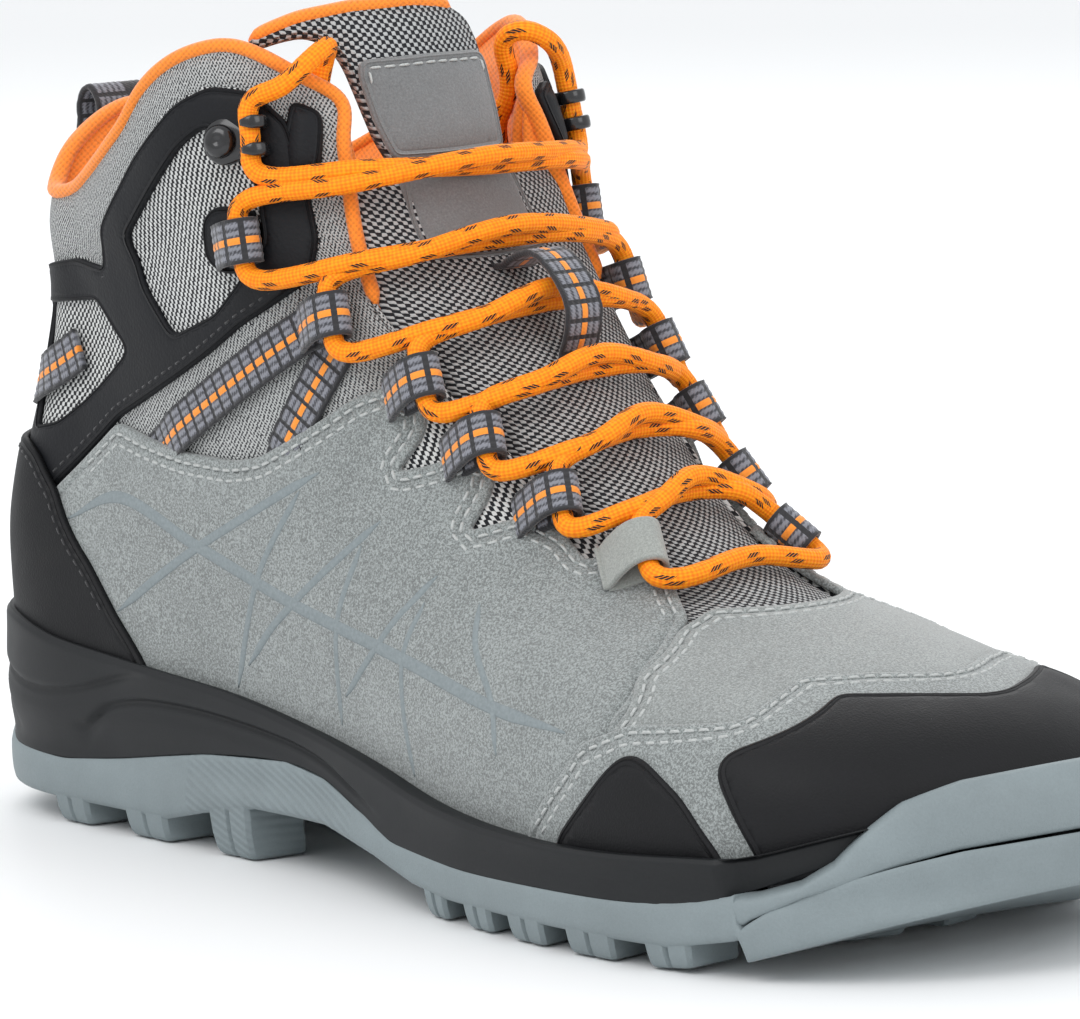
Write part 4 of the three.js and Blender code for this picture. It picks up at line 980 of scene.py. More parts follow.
# ---------------------------------------------------------------- toe cap, side guards and heel counter
# Moulded film over a stiffener, pebbled and nearly black, fused on over the suede and worn shiny on top.


def moulded_material(name, shade, roughness, pebble, specks=0.0):
    """Fine pebbles from a cell pattern over slow scuffing, which also changes the roughness."""
    maker = Maker(name, roughness, Specular_IOR_Level=0.22)
    place, _, _ = maker.place()
    cells = maker.node("ShaderNodeTexVoronoi", {"Vector": place, "Scale": pebble}).outputs["Distance"]
    scuffs = maker.noise(place, 0.06, 4.0, 0.65)
    fine = maker.noise(place, 1.7, 3.0, 0.7)
    mottled = maker.math("MULTIPLY_ADD", fine, 0.4, maker.math("MULTIPLY", scuffs, 0.6))
    colour = maker.ramp(mottled, [(0.3, tuple(np.array(shade) * 0.7)), (0.7, tuple(np.array(shade) * 1.35))])
    if specks:
        dust = maker.math("GREATER_THAN", maker.noise(place, 0.9, 5.0, 0.8), specks)
        colour = maker.mix(maker.math("MULTIPLY", dust, 0.5), colour, (0.30, 0.31, 0.31))
    rough = maker.math("MULTIPLY_ADD", scuffs, 0.3, roughness - 0.15)
    return maker.finish(colour, maker.math("MULTIPLY_ADD", fine, 0.5, cells), 0.25, 0.0002, rough)


moulded_black = moulded_material("moulded_black", (0.0065, 0.0067, 0.0078), 0.58, 2.2, 0.74)
cap_bottom = [(108, 16), (120, 20), (136, 24), (170, 25)]
cap_outline = np.vstack([over_toe(CAP_EDGE_3D), both_walls(cap_bottom, RIDGE)[::-1]])
toe_cap, _ = panel("toe_cap_skin", [cap_outline], RIDGE, 3.9, 2.4, width=1.5, dip=0.05, levels=RIDGE,
                   step=1.4, passes=5)
finish_piece(toe_cap, "boot", "black_overlay", moulded_black, "toe_cap")

GUARD = [(57, 13), (60.3, 21.6), (65, 26), (70.5, 31.5), (74, 35.2), (77.5, 37.2), (81.5, 36.4),
         (92.7, 31.2), (101, 22.3), (103, 13)]
for side, side_name in SIDES:
    name = "side_guard_" + side_name
    guard, _ = panel(name + "_skin", [wall(side, GUARD)], HEEL, 3.8, 2.4, width=1.5, dip=0.05, step=1.3,
                     passes=5)
    finish_piece(guard, "boot", "black_overlay", moulded_black, name)

COUNTER_EDGE = [(-80, 29), (-84, 35), (-93, 44), (-102, 54), (-114, 67.5), (-121, 74), (-126, 76), (-170, 77)]
counter_base = [(-80, 28), (-110, 31), (-140, 34), (-170, 34)]
counter_outline = np.vstack([both_walls(COUNTER_EDGE), both_walls(counter_base)[::-1]])
counter, counter_edges = panel("heel_counter_skin", [counter_outline], HEEL, 3.1, 1.7, width=1.6, dip=0.05)
finish_piece(counter, "boot", "black_overlay", moulded_black, "heel_counter")
rows = sewn_rows(counter_edges, (2.4,), 3.1, lambda p: p[:, 2] > 46)
stitches("counter_stitches", rows, black_thread, "boot", "black_overlay", pitch=2.8, length=2.1,
         thickness=0.26)

# ---------------------------------------------------------------- ankle frames
# Smooth rubbery film welded on as one band round both windows of each side, sewn along its outer edge.
MAIN_WINDOW = [(-46.5, 123), (-49, 133), (-56, 143.5), (-60.5, 145), (-66, 141), (-86.5, 121.5),
               (-83, 111.5), (-74, 102.5), (-60, 108)]
REAR_WINDOW = [(-103, 107), (-91, 98), (-106, 87.5), (-117, 81), (-126, 79), (-127, 104)]
frame_film = moulded_material("frame_film", (0.0065, 0.007, 0.0088), 0.56, 1.4)
FRAME_TOP = 1.35
for side, side_name in SIDES:
    outer_line = wall(side, FRAME_OUTER)
    outer_line[[-2, -1], 0] = side * 0.4  # the two frames meet behind the heel with a hair's gap
    name = "ankle_frame_" + side_name
    outlines = [outer_line, wall(side, MAIN_WINDOW), wall(side, REAR_WINDOW)]
    ankle_frame, frame_edges = panel(name + "_skin", outlines, HEEL, FRAME_TOP, 0.1, width=1.1, dip=0.03,
                                     step=1.2, swell=collar_swell)
    finish_piece(ankle_frame, "boot", "black_overlay", frame_film, name)
    rows = sewn_rows(frame_edges[:1], (2.2,), FRAME_TOP, lambda p: p[:, 0] > -134)
    stitches("frame_stitches_" + side_name, rows, black_thread, "boot", "black_overlay", pitch=2.7,
             length=2.0, thickness=0.26)

# ---------------------------------------------------------------- midsole
# One moulded foam ring, near black with a satin skin, cemented round the upper; curved grooves wind over
# the heel and a raised band runs on over the arch.
# How far the wall leans out at each height; then side views of its edges, and its grooves as lines of
# (x, share of the wall's height) with their depth.
SOLE_PROFILE = [[-1, -1], [4, 0.4], [12, 1.1], [16, 0.2], [22, 0.5], [30, 0.2], [37, -0.3], [44, -0.6]]
HEEL_FLARE, FOREFOOT_EXTRA = 5.2, 1.8
OUTSOLE_TOP = [[-170, 21], [-148, 18], [-130, 14], [-108, 13.5], [-90, 15.5], [-61, 20], [-34, 22], [-20, 20.5],
               [-8, 16.5], [8, 12.6], [35, 11.3], [60, 11.6], [80, 12], [95, 13], [108, 16], [121, 21], [170, 41]]
HEEL_GROOVES = [
    ([(-152, 0.78), (-140, 0.6), (-122, 0.52), (-104, 0.62), (-86, 0.86), (-78, 0.95)], 1.0),
    ([(-152, 0.66), (-143, 0.5), (-134, 0.3), (-124, 0.08)], 0.9),
    ([(-100, 0.3), (-92, 0.52), (-76, 0.62), (-50, 0.55), (-25, 0.42), (2, 0.22)], 1.0)]


def sole_flare(theta, z):
    """How far the sole's wall stands out from the last: more at the forefoot, and waisted in height."""
    return HEEL_FLARE + FOREFOOT_EXTRA * ease((theta - 0.4) / 0.25) + along(SOLE_PROFILE, z)


def sole_point(theta, z, side, relief=0.0):
    """A point of the sole's wall: level with a point of the last and straight out from it."""
    normal = last_normal(theta, z, side)
    normal[..., 2] = 0
    normal /= np.linalg.norm(normal, axis=-1, keepdims=True)
    return last_point(theta, z, side) + (sole_flare(theta, z) + relief)[..., None] * normal


def height_on(line, theta, side, relief=0.0):
    """The height at which the sole's wall meets a side-view line."""
    z = np.full(np.broadcast(theta, side).shape, 18.0)
    for _ in range(12):
        z = 0.5 * z + 0.5 * along(line, sole_point(theta, z, side, relief)[..., 0])
    return z


def ring_turns(count):
    """Turn and side of evenly spaced stations all round the foot, from the heel by the outer side."""
    share = np.arange(2 * count) / count
    return np.where(share <= 1, share, 2 - share), np.where(share <= 1, LATERAL, MEDIAL)


turns, ring_sides = ring_turns(330)
wall_low = height_on(OUTSOLE_TOP, turns, ring_sides)
wall_high = height_on(MIDSOLE_TOP, turns, ring_sides)
shares = np.linspace(0, 1, 40)[None]
wall_z = wall_low[:, None] + (wall_high - wall_low)[:, None] * shares
wall_x = sole_point(turns[:, None], wall_z, ring_sides[:, None])[..., 0]
relief = np.zeros_like(wall_z)
for curve, depth in HEEL_GROOVES:
    curve = np.array(curve)
    off = (shares - along(curve, wall_x)) * (wall_high - wall_low)[:, None]
    fade = ease((wall_x - curve[0, 0]) / 10 + 0.6) * ease((curve[-1, 0] - wall_x) / 14)
    relief -= depth * fade * (np.exp(-(off / 0.7) ** 2) + 0.5 * np.exp(-((off + 1.6) / 1.8) ** 2))
tucked = np.clip((wall_x - 104) / 4, 0, 1)
relief -= 3.2 * tucked + 0.7 * ease(1 - (1 - shares) * (wall_high - wall_low)[:, None] / 1.2) ** 2
outer_wall = sole_point(turns[:, None], wall_z, ring_sides[:, None], relief)
lip_profile = [(0.86, 0.1), (0.6, 0.0), (0.3, -0.5), (0.12, -1.4), (0.1, -7)]
lip = []
for share, rise in lip_profile:
    z = wall_high + rise
    lip.append(sole_point(turns, z, ring_sides, (share - 1) * sole_flare(turns, z)))
inner_low = sole_point(turns, wall_low + 0.5, ring_sides, -0.9 * sole_flare(turns, wall_low))
rings = np.concatenate([outer_wall, np.stack(lip, 1), inner_low[:, None]], axis=1)
midsole = add_piece("midsole_ring", rings.reshape(-1, 3), ring_faces(*rings.shape[:2], closed=True))
foam = Maker("satin_foam", 0.5, Specular_IOR_Level=0.28)
foam_place, _, _ = foam.place()
foam_grain = foam.noise(foam_place, 1.6, 4.0, 0.7)
foam_cloud = foam.noise(foam_place, 0.05, 3.0, 0.6)
foam_mottle = foam.math("MULTIPLY_ADD", foam_grain, 0.4, foam.math("MULTIPLY", foam_cloud, 0.6))
foam_shade = foam.ramp(foam_mottle, [(0.3, (0.006, 0.0068, 0.008)), (0.7, (0.012, 0.0135, 0.015))])
foam_rough = foam.math("MULTIPLY_ADD", foam_cloud, 0.3, 0.36)
satin_foam = foam.finish(foam_shade, foam_grain, 0.12, 0.0002, foam_rough)
finish_piece(midsole, "boot", "midsole_foam", satin_foam, "midsole")

# ---------------------------------------------------------------- outsole and toe bumper
# Blue-grey rubber: a thin body with a wall up the midsole, ribbed under the arch, and blocky lugs cut by a
# small slit each; the bumper is a second layer that wraps the toe above a groove.
BODY_BOTTOM = [[-170, 16], [-148, 9], [-132, 5], [-75, 5], [-62, 8], [-45, 11], [-20, 11.5], [0, 8.5],
               [15, 5.5], [28, 4.5], [92, 4.5], [108, 7.5], [125, 12.5], [150, 19.5], [170, 26]]
LUG_BOTTOM = [[-170, 14], [-148, 6], [-136, 2.4], [-124, 0], [88, 0], [102, 1.4], [114, 5], [150, 18.5],
              [170, 26]]
BUMPER_TOP = [[78, 12.6], [90, 13.6], [102.5, 15.7], [111, 17], [118.8, 19.6], [124, 23.2], [128, 28],
              [131.5, 32], [136, 34.3], [142, 35.6], [170, 38]]
BUMPER_BOTTOM = [[78, 12.0], [95, 11.2], [108.5, 10.2], [113, 13.4], [118.7, 17], [131, 22.4], [137, 24.7],
                 [144, 26.3], [170, 30]]


def straight(line, x):
    """The side-view line read with straight runs between its points."""
    line = np.array(line, float)
    return np.interp(x, line[:, 0], line[:, 1])


def rubber_material(name, shade):
    """Moulded rubber: fine matt grain, dustier in slow patches, with ribs pressed in under the arch."""
    maker = Maker(name, 0.58, Specular_IOR_Level=0.4)
    place, x, y = maker.place()
    grain = maker.noise(place, 1.9, 4.0, 0.7)
    dust = maker.noise(place, 0.05, 4.0, 0.6)
    mottled = maker.math("MULTIPLY_ADD", grain, 0.35, maker.math("MULTIPLY", dust, 0.65))
    colour = maker.ramp(mottled, [(0.3, tuple(np.array(shade) * 0.86)), (0.7, tuple(np.array(shade) * 1.12))])
    z = maker.node("ShaderNodeSeparateXYZ", {0: place}).outputs[2]
    ribs = maker.math("SINE", maker.math("MULTIPLY_ADD", z, 3.4, maker.math("MULTIPLY", x, 1.5)))
    arch = maker.math("MULTIPLY", maker.math("GREATER_THAN", x, -62.0), maker.math("LESS_THAN", x, -4.0))
    height = maker.math("MULTIPLY_ADD", maker.math("MULTIPLY", ribs, arch), 1.1, grain)
    return maker.finish(colour, height, 0.35, 0.0003, maker.math("MULTIPLY_ADD", dust, 0.25, 0.45))


rubber = rubber_material("blue_grey_rubber", (0.20, 0.238, 0.25))
theta_steps = np.concatenate([[0.0], np.linspace(0.004, 0.996, 420), [1.0]])
# Under the bumper the body comes down to the toe plate, and its top keeps just clear of the bumper.
PLATE_START = 108
line_stops = np.arange(-170, 171, 1.0)
ahead = line_stops >= PLATE_START + 1
low_line = np.stack([line_stops, np.where(ahead, straight(LUG_BOTTOM, line_stops),
                                          straight(BODY_BOTTOM, line_stops))], -1)
ahead = line_stops >= PLATE_START
top_line = np.stack([line_stops, np.where(ahead, straight(BUMPER_BOTTOM, line_stops) - 0.3,
                                          straight(OUTSOLE_TOP, line_stops))], -1)
walls = {}
for side in (LATERAL, MEDIAL):
    low = height_on(low_line, theta_steps, side)
    high = height_on(top_line, theta_steps, side)
    share = np.array([0, 0.04, 0.1, 0.2, 0.32, 0.45, 0.6, 0.75, 0.88, 0.95, 0.985, 1.0])[None]
    z = low[:, None] + (high - low)[:, None] * share
    run = (high - low)[:, None]
    eased = -0.8 * np.exp(-(share * run / 0.5)) - 0.5 * np.exp(-((1 - share) * run / 0.35))
    toe_relief = 0.9 * ease((theta_steps - 0.8) / 0.08)[:, None]
    walls[side] = sole_point(theta_steps[:, None], z, side, 0.35 + toe_relief + eased)
# Rows of the tube run up the outer wall, across the top, down the inner wall and back along the bottom.
across = np.linspace(0, 1, 20)[1:-1][None, :, None]
top_span = walls[LATERAL][:, -1:] * (1 - across) + walls[MEDIAL][:, -1:] * across
low_span = walls[MEDIAL][:, :1] * (1 - across) + walls[LATERAL][:, :1] * across
crown = 1.2 * np.sin(np.pi * across[..., 0])
arch_x = low_span[..., 0]
low_span[..., 2] += crown + 0.35 * np.sin(arch_x * 1.3) * ease((arch_x + 64) / 4) * ease((-4 - arch_x) / 6)
body = np.concatenate([walls[LATERAL], top_span, walls[MEDIAL][:, ::-1], low_span], axis=1)
points = [body.reshape(-1, 3)]
faces = ring_faces(*body.shape[:2])


def lug(x0, length, depth, turn, y_of, side, slit):
    """A block of tread: rings of a bevelled outline, shrinking and rounding towards the ground. Its outer
    face follows y_of(x, z); the slit is a notch in that face."""
    half = length / 2
    outline = np.array([
        (-half, 0.9), (-half + 0.8, 0), (-0.7, 0), (-0.12, slit), (0.12, slit), (0.7, 0), (half - 0.8, 0),
        (half, 0.9), (half, depth - 0.9), (half - 0.9, depth), (0, depth), (-half + 0.9, depth),
        (-half, depth - 0.9)])
    rings = []
    for rise, shrink in ((1.0, 0.0), (0.45, 0.25), (0.16, 0.45), (0.05, 0.75), (0.0, 1.3), (0.0, 2.4)):
        a = outline[:, 0] * (1 - shrink / half)
        b = shrink * 0.8 + outline[:, 1] * (1 - 1.6 * shrink / depth)
        x = x0 + a + turn * b
        top, bottom = straight(BODY_BOTTOM, x) + 1.2, straight(LUG_BOTTOM, x)
        z = bottom + (top - bottom) * rise
        rings.append(np.stack([x, y_of(x, z) - side * b, z], -1))
    return np.vstack(rings), ring_faces(len(rings), len(outline))


def outline_y(side):
    """The y of the sole's wall above a place in x and z."""
    def y_of(x, z):
        theta = theta_at(x, np.full_like(x, 14.0))
        return sole_point(theta, z, side, 0.15)[..., 1]
    return y_of


def level_y(y):
    """The same y everywhere, for a lug away from the sole's wall."""
    return lambda x, z: np.full_like(x, y)


# Lugs (middle, length) along each edge of the forefoot and of the heel, with a second row further in.
FOREFOOT_LUGS = ((23, 8), (38, 9), (53.5, 11), (72, 13), (91.5, 11))
HEEL_LUGS = ((-107, 11), (-82, 13.5), (-54, 13))
blocks = []
for side in (LATERAL, MEDIAL):
    for x, length in FOREFOOT_LUGS:
        blocks.append(lug(x, length, 15, -0.12, outline_y(side), side, 0.9))
        middle = centre_line(x) + side * 4.6
        blocks.append(lug(x + 3, 9.0, 12.5, 0.3, level_y(middle + side * 12.5), side, 0.0))
    for x, length in HEEL_LUGS:
        blocks.append(lug(x, length, 14, 0.12, outline_y(side), side, 1.0))
    blocks.append(lug(-104, 26, 9, 0.0, level_y(side * 13.0), side, 0.0))
blocks.append(lug(-133, 19, 50, 0.0, level_y(-25.0), LATERAL, 0.0))
total = len(points[0])
for ring_points, lug_faces in blocks:
    faces += [[i + total for i in face] for face in lug_faces]
    points.append(ring_points)
    total += len(ring_points)
outsole = add_piece("outsole_tread", np.vstack(points), faces)
flat_ends = [len(face.vertices) > 4 for face in outsole.data.polygons]
outsole.data.polygons.foreach_set("use_smooth", ~np.array(flat_ends))
sharp = bmesh.new()
sharp.from_mesh(outsole.data)
for edge in sharp.edges:
    edge.smooth = edge.calc_face_angle(0) < 0.6
sharp.to_mesh(outsole.data)
sharp.free()
finish_piece(outsole, "boot", "sole_rubber", rubber, "outsole")

# The bumper runs round the toe by this much of a half turn on each side.
BUMPER_REACH = 0.345
bumper_turn = np.linspace(-BUMPER_REACH, BUMPER_REACH, 300)
theta = 1 - np.abs(bumper_turn)
side = np.where(bumper_turn < 0, LATERAL, MEDIAL)


def bumper_point(z, offset):
    """The bumper's stations at heights z, moved off the last by offset."""
    return last_point(theta, z, side) + np.asarray(offset)[..., None] * last_normal(theta, z, side)


def bumper_height(line):
    """The height at which each station meets a side-view line."""
    z = np.full_like(theta, 18.0)
    for _ in range(14):
        z = 0.5 * z + 0.5 * straight(line, bumper_point(z, 8.0)[..., 0])
    return z


low, high = bumper_height(BUMPER_BOTTOM), bumper_height(BUMPER_TOP)
run = high - low
# Its section as (share of its height, offset from the last), thinner towards its two ends.
BUMPER_SECTION = ((0, 3.0), (0, 7.0), (0.03, 7.6), (0.1, 7.9), (0.3, 8.05), (0.5, 8.1), (0.7, 8.0),
                  (0.84, 7.75), (0.93, 7.2), (0.98, 6.4), (1.0, 5.4), (1.0, 3.9), (0.9, 3.0))
thin = 1 - 0.12 * ease((1 - theta - 0.27) / 0.07)
bumper_rings = np.stack([bumper_point(low + run * share, offset * thin) for share, offset in BUMPER_SECTION], 1)
bumper = add_piece("toe_bumper_wrap", bumper_rings.reshape(-1, 3), ring_faces(*bumper_rings.shape[:2]))
finish_piece(bumper, "boot", "sole_rubber", rubber, "toe_bumper")

# ---------------------------------------------------------------- webbing: straps, lace loops, keeper, tabs
# Woven tape 9 mm wide: grey ribs crossed by black picks, with an orange thread up the middle.
TAPE_WIDTH, TAPE_THICKNESS = 9.0, 1.2


RIB_PITCH, PICK_PITCH = 1.5, 3.2


def tape(name, path, normals, body, slot, material, nodes, width=TAPE_WIDTH, thickness=TAPE_THICKNESS,
         closed=False, ribbed=True):
    """A flat section with rounded edges and lengthwise ribs, carried along a path whose normal is given;
    each pick of the weave pinches it a little."""
    tangent = tangents(path)
    if closed:
        tangent = np.roll(path, -1, axis=0) - np.roll(path, 1, axis=0)
        tangent /= np.linalg.norm(tangent, axis=1, keepdims=True)
    across = np.cross(tangent, normals)
    across /= np.linalg.norm(across, axis=1, keepdims=True)
    upward = np.cross(across, tangent)
    half = width / 2
    s = np.concatenate([[-half + 0.3, -half], np.linspace(-half + 0.15, half - 0.15, 21), [half, half - 0.3]])
    h = thickness * (1 + ribbed * 0.07 * np.cos(2 * np.pi * s / RIB_PITCH))
    h[[0, -1]] = 0
    h[[1, -2]] = 0.5 * thickness
    run = run_along(path)
    pick = 1 - ribbed * 0.16 * np.exp(-(((run / PICK_PITCH) % 1 - 0.5) / 0.13) ** 2)
    raised = (h[None] * pick[:, None])[..., None] * upward[:, None]
    rings = path[:, None] + s[None, :, None] * across[:, None] + raised
    faces = ring_faces(len(path), len(s), closed=closed)
    piece = add_piece(name, rings.reshape(-1, 3), faces, recalculate=False)
    add_uv(piece, "tape_uv", np.stack(np.broadcast_arrays(run[:, None], s[None] + half), -1).reshape(-1, 2))
    shell = bmesh.new()
    shell.from_mesh(piece.data)
    bmesh.ops.recalc_face_normals(shell, faces=shell.faces)
    shell.to_mesh(piece.data)
    shell.free()
    finish_piece(piece, body, slot, material, *nodes)


def tape_material(name, orange_line):
    """Grey cells between black picks, black selvages, and an orange thread that shows in each cell."""
    maker = Maker(name, 0.75, Sheen_Weight=0.25)
    place, u, v = maker.place(uv="tape_uv")
    share = maker.math("FRACT", maker.math("DIVIDE", u, PICK_PITCH))
    picks = maker.math("LESS_THAN", maker.math("ABSOLUTE", maker.math("SUBTRACT", share, 0.5)), 0.13)
    from_middle = maker.math("SUBTRACT", v, TAPE_WIDTH / 2)
    rib = maker.math("COSINE", maker.math("MULTIPLY", from_middle, 2 * np.pi / RIB_PITCH))
    twist = maker.math("SINE", maker.math("MULTIPLY_ADD", u, 9.0, maker.math("MULTIPLY", v, 6.0)))
    grain = maker.noise(place, 1.8, 3.0)
    shade = maker.math("MULTIPLY_ADD", rib, 0.2, maker.math("MULTIPLY_ADD", twist, 0.1, grain))
    grey = maker.ramp(shade, [(0.28, (0.035, 0.036, 0.045)), (0.62, (0.20, 0.205, 0.235))])
    off_middle = maker.math("ABSOLUTE", from_middle)
    if orange_line:
        grey = maker.mix(maker.math("LESS_THAN", off_middle, 0.68), grey, (0.85, 0.27, 0.02))
    dark = maker.math("MAXIMUM", picks, maker.math("GREATER_THAN", off_middle, TAPE_WIDTH / 2 - 0.75))
    colour = maker.mix(dark, grey, (0.014, 0.014, 0.017))
    return maker.finish(colour, shade, 0.5, 0.0003)


webbing = tape_material("striped_webbing", True)
plain_webbing = tape_material("plain_webbing", False)
# The ankle strap's two legs in side view; the second lies a little lower, under the first one's top end.
STRAP_LEGS = [[(-84, 76.5), (-29.5, 109.8)], [(-43, 77), (-28, 103.5)]]
for side, side_name in SIDES:
    shift = 0 if side == LATERAL else 6
    for k, (start, end) in enumerate(STRAP_LEGS):
        share = np.linspace(0, 1, 200)[:, None]
        line = np.array(start) * (1 - share) + (np.array(end) + (shift, 0)) * share
        # Its foot starts inside the suede, and it rises out of it in its first quarter.
        height = -1.0 + (2.0 - 0.9 * k) * ease(share[:, 0] * 5 - 0.25)
        base, normals = settle(on_last(side, line[:, 0], line[:, 1]), height)
        tape("ankle_strap_" + side_name + "_tape_" + str(k + 1), base, normals, "boot", "webbing", webbing,
             ["ankle_strap_" + side_name] if k == 0 else [], thickness=1.3)

BAND = np.array([(-109.5, 96.5), (-115, 93.5), (-121, 90.5), (-129, 87), (-138, 84.5)])
lateral_band, medial_band = (on_last(side, BAND[:, 0], BAND[:, 1]) for side in (LATERAL, MEDIAL))
heel_middle = last_point(0.0, 84.0, LATERAL)[None]
band_path = smooth_path(np.vstack([lateral_band, heel_middle, medial_band[::-1]]), 0.45)
base, normals = settle(band_path, 1.0)
tape("heel_webbing_tape", base, normals, "boot", "webbing", webbing, ["heel_webbing"])

# A loop's section as (towards the ridge, off the last), counted from the lace's middle: out over the lace,
# round it, and back underneath to its own sewn end.
LOOP_LINE = [(-9.6, -5.6), (-8.2, -3.6), (-6, -1.2), (-3.4, 1.2), (-1.4, 2.15), (0.3, 2.25), (1.9, 1.6),
             (2.55, 0.1), (2.0, -1.5), (0.4, -2.3), (-2, -2.5), (-4.5, -3.2), (-7, -4.6), (-8.6, -6.2)]
tab_suede = suede_material("tab_suede", (0.27, 0.283, 0.265), 0.9)
for side, side_name in SIDES:
    for k in range(HOOK):
        centre, normal, up, inward = loop_frame(side, k)
        sunk = np.array(LOOP_LINE)
        if k == 0:
            sunk[:, 1] = np.maximum(sunk[:, 1], -3.6)
        route = centre + sunk[:, :1] * inward + sunk[:, 1:] * normal
        path = smooth_path(route, 0.4)
        tangent = np.gradient(path, axis=0)
        outward = np.cross(tangent, up)
        middle = path - centre
        if np.sum(outward[len(path) // 2] * middle[len(path) // 2]) < 0:
            outward = -outward
        is_suede = k == 0 and side == LATERAL
        tape("lace_loop_" + side_name + "_" + str(k + 1) + "_tape", path, outward, "boot",
             "grey_suede" if is_suede else "webbing", tab_suede if is_suede else webbing,
             ["lace_loop_" + side_name + "_" + str(k + 1)], ribbed=not is_suede, thickness=1.15,
             width=10.5 if is_suede else 9.0)

KEEPER_MIDDLE = 109.5
keeper_line = [(-9.5, -2.2), (-7.8, 0.5), (-6.8, 5.0), (-4.8, 9.3), (0, 10.9), (4.8, 9.3), (6.8, 5.0),
               (7.8, 0.5), (9.5, -2.2)]
keeper_points = np.array([ridge(KEEPER_MIDDLE + rise, offset) for rise, offset in keeper_line])
keeper_path = smooth_path(keeper_points + (0, 1.0, 0), 0.4)
keeper_normals = np.cross(np.array([[0, 1.0, 0]]), np.gradient(keeper_path, axis=0))
tape("tongue_keeper_tape", keeper_path, keeper_normals, "boot", "webbing", webbing, ["tongue_keeper"])

PULL_X, PULL_BOTTOM, PULL_TOP, PULL_HALF = -141.6, 131.7, 146.4, 3.5
pull_ring = [(-PULL_HALF, PULL_BOTTOM + 0.4), (0, PULL_BOTTOM), (PULL_HALF, PULL_BOTTOM + 0.4),
             (PULL_HALF, 139), (2.9, 143.8), (0, PULL_TOP), (-2.9, 143.8), (-PULL_HALF, 139)]
pull_path = smooth_path([(PULL_X + x, 0, z) for x, z in pull_ring], 0.4, closed=True)
from_middle = pull_path - np.array([PULL_X, 0, 138.5])
pull_inside = pull_path - 0.9 * from_middle / np.linalg.norm(from_middle, axis=1, keepdims=True)
tape("pull_loop_tape", pull_inside, from_middle, "pull_tab", "webbing", plain_webbing, ["pull_loop"],
     width=13.6, closed=True)

# ---------------------------------------------------------------- lace hooks and their rivets
# Pressed steel, black gloss: a plate riveted through the ankle frame, with two claws round the lace.
gloss = Maker("black_gloss_metal", 0.22, Metallic=0.35, Coat_Weight=0.5, Coat_Roughness=0.15)
gloss_place, _, _ = gloss.place()
gloss_grain = gloss.noise(gloss_place, 0.5, 3.0)
gloss_shade = gloss.ramp(gloss_grain, [(0.3, (0.006, 0.006, 0.007)), (0.8, (0.018, 0.018, 0.02))])
gloss_rough = gloss.math("MULTIPLY_ADD", gloss_grain, 0.2, 0.14)
gloss_metal = gloss.finish(gloss_shade, gloss_grain, 0.06, 0.0002, gloss_rough)
# A claw as (towards the ridge, off the last) from the lace's middle: from the plate, under and round it.
CLAW_LINE = [(-8.5, -3.0), (-4, -3.0), (-1, -3.0), (1.4, -2.6), (2.85, -0.9), (2.9, 0.9), (1.8, 2.4),
             (0.2, 2.95), (-1.0, 2.75)]
PLATE_MIDDLE = -6.2
for side, side_name in SIDES:
    centre, normal, up, inward = loop_frame(side, HOOK)
    points, faces = [], []
    total = 0
    for shift in (-2.7, 2.7):
        path = smooth_path([centre + a * inward + n * normal + shift * up for a, n in CLAW_LINE], 0.5)
        out = np.cross(tangents(path), up)
        # A squarish oval section: the sine and cosine of the turn to the power 0.6, slimmer at the tip.
        turn = 2 * np.pi * np.arange(12) / 12
        wide, thick = (np.sign(wave) * np.abs(wave) ** 0.6 for wave in (np.cos(turn), np.sin(turn)))
        slim = np.minimum(1, 0.45 + (len(path) - 1 - np.arange(len(path))) * 0.12)[:, None, None]
        ring = path[:, None] + slim * (1.35 * wide[None, :, None] * up + 0.5 * thick[None, :, None] * out[:, None])
        points.append(ring.reshape(-1, 3))
        faces += [[i + total for i in face] for face in ring_faces(len(path), 12)]
        total += ring.shape[0] * 12
    # The plate is a rounded tongue that narrows towards the claws; rings run from its foot to its top.
    turn = 2 * np.pi * np.arange(40) / 40
    plan = np.stack([5.4 * np.cos(turn), (4.7 - 0.6 * np.cos(turn)) * np.sin(turn)], -1)
    for scale, height in ((0.98, -4.3), (1.0, -3.6), (0.97, -2.9), (0.9, -2.55), (0.5, -2.4), (0.05, -2.35)):
        along_plate, across_plate = scale * plan[:, :1], scale * plan[:, 1:]
        points.append(centre + (PLATE_MIDDLE + along_plate) * inward + across_plate * up + height * normal)
    faces += [[i + total for i in face] for face in ring_faces(6, 40)]
    hook = add_piece("lace_hook_" + side_name + "_claws", np.vstack(points), faces)
    finish_piece(hook, "boot", "hook_metal", gloss_metal, "lace_hook_" + side_name)
    # The rivet's head is a dome turned from a quarter of an ellipse, with a dimple.
    radii = np.array([3.3, 3.4, 3.3, 2.95, 2.3, 1.5, 0.9, 0.45, 0.02])
    rises = np.array([-2.6, -2.3, -1.7, -1.15, -0.7, -0.5, -0.55, -0.75, -0.8])
    head = (centre - 7.6 * inward) + rises[:, None, None] * normal + radii[:, None, None] * (
        np.cos(turn)[None, :, None] * inward + np.sin(turn)[None, :, None] * up)
    rivet = add_piece("hook_rivet_" + side_name + "_head", head.reshape(-1, 3), ring_faces(len(radii), 40))
    finish_piece(rivet, "boot", "rivet_steel", gloss_metal, "hook_rivet_" + side_name)

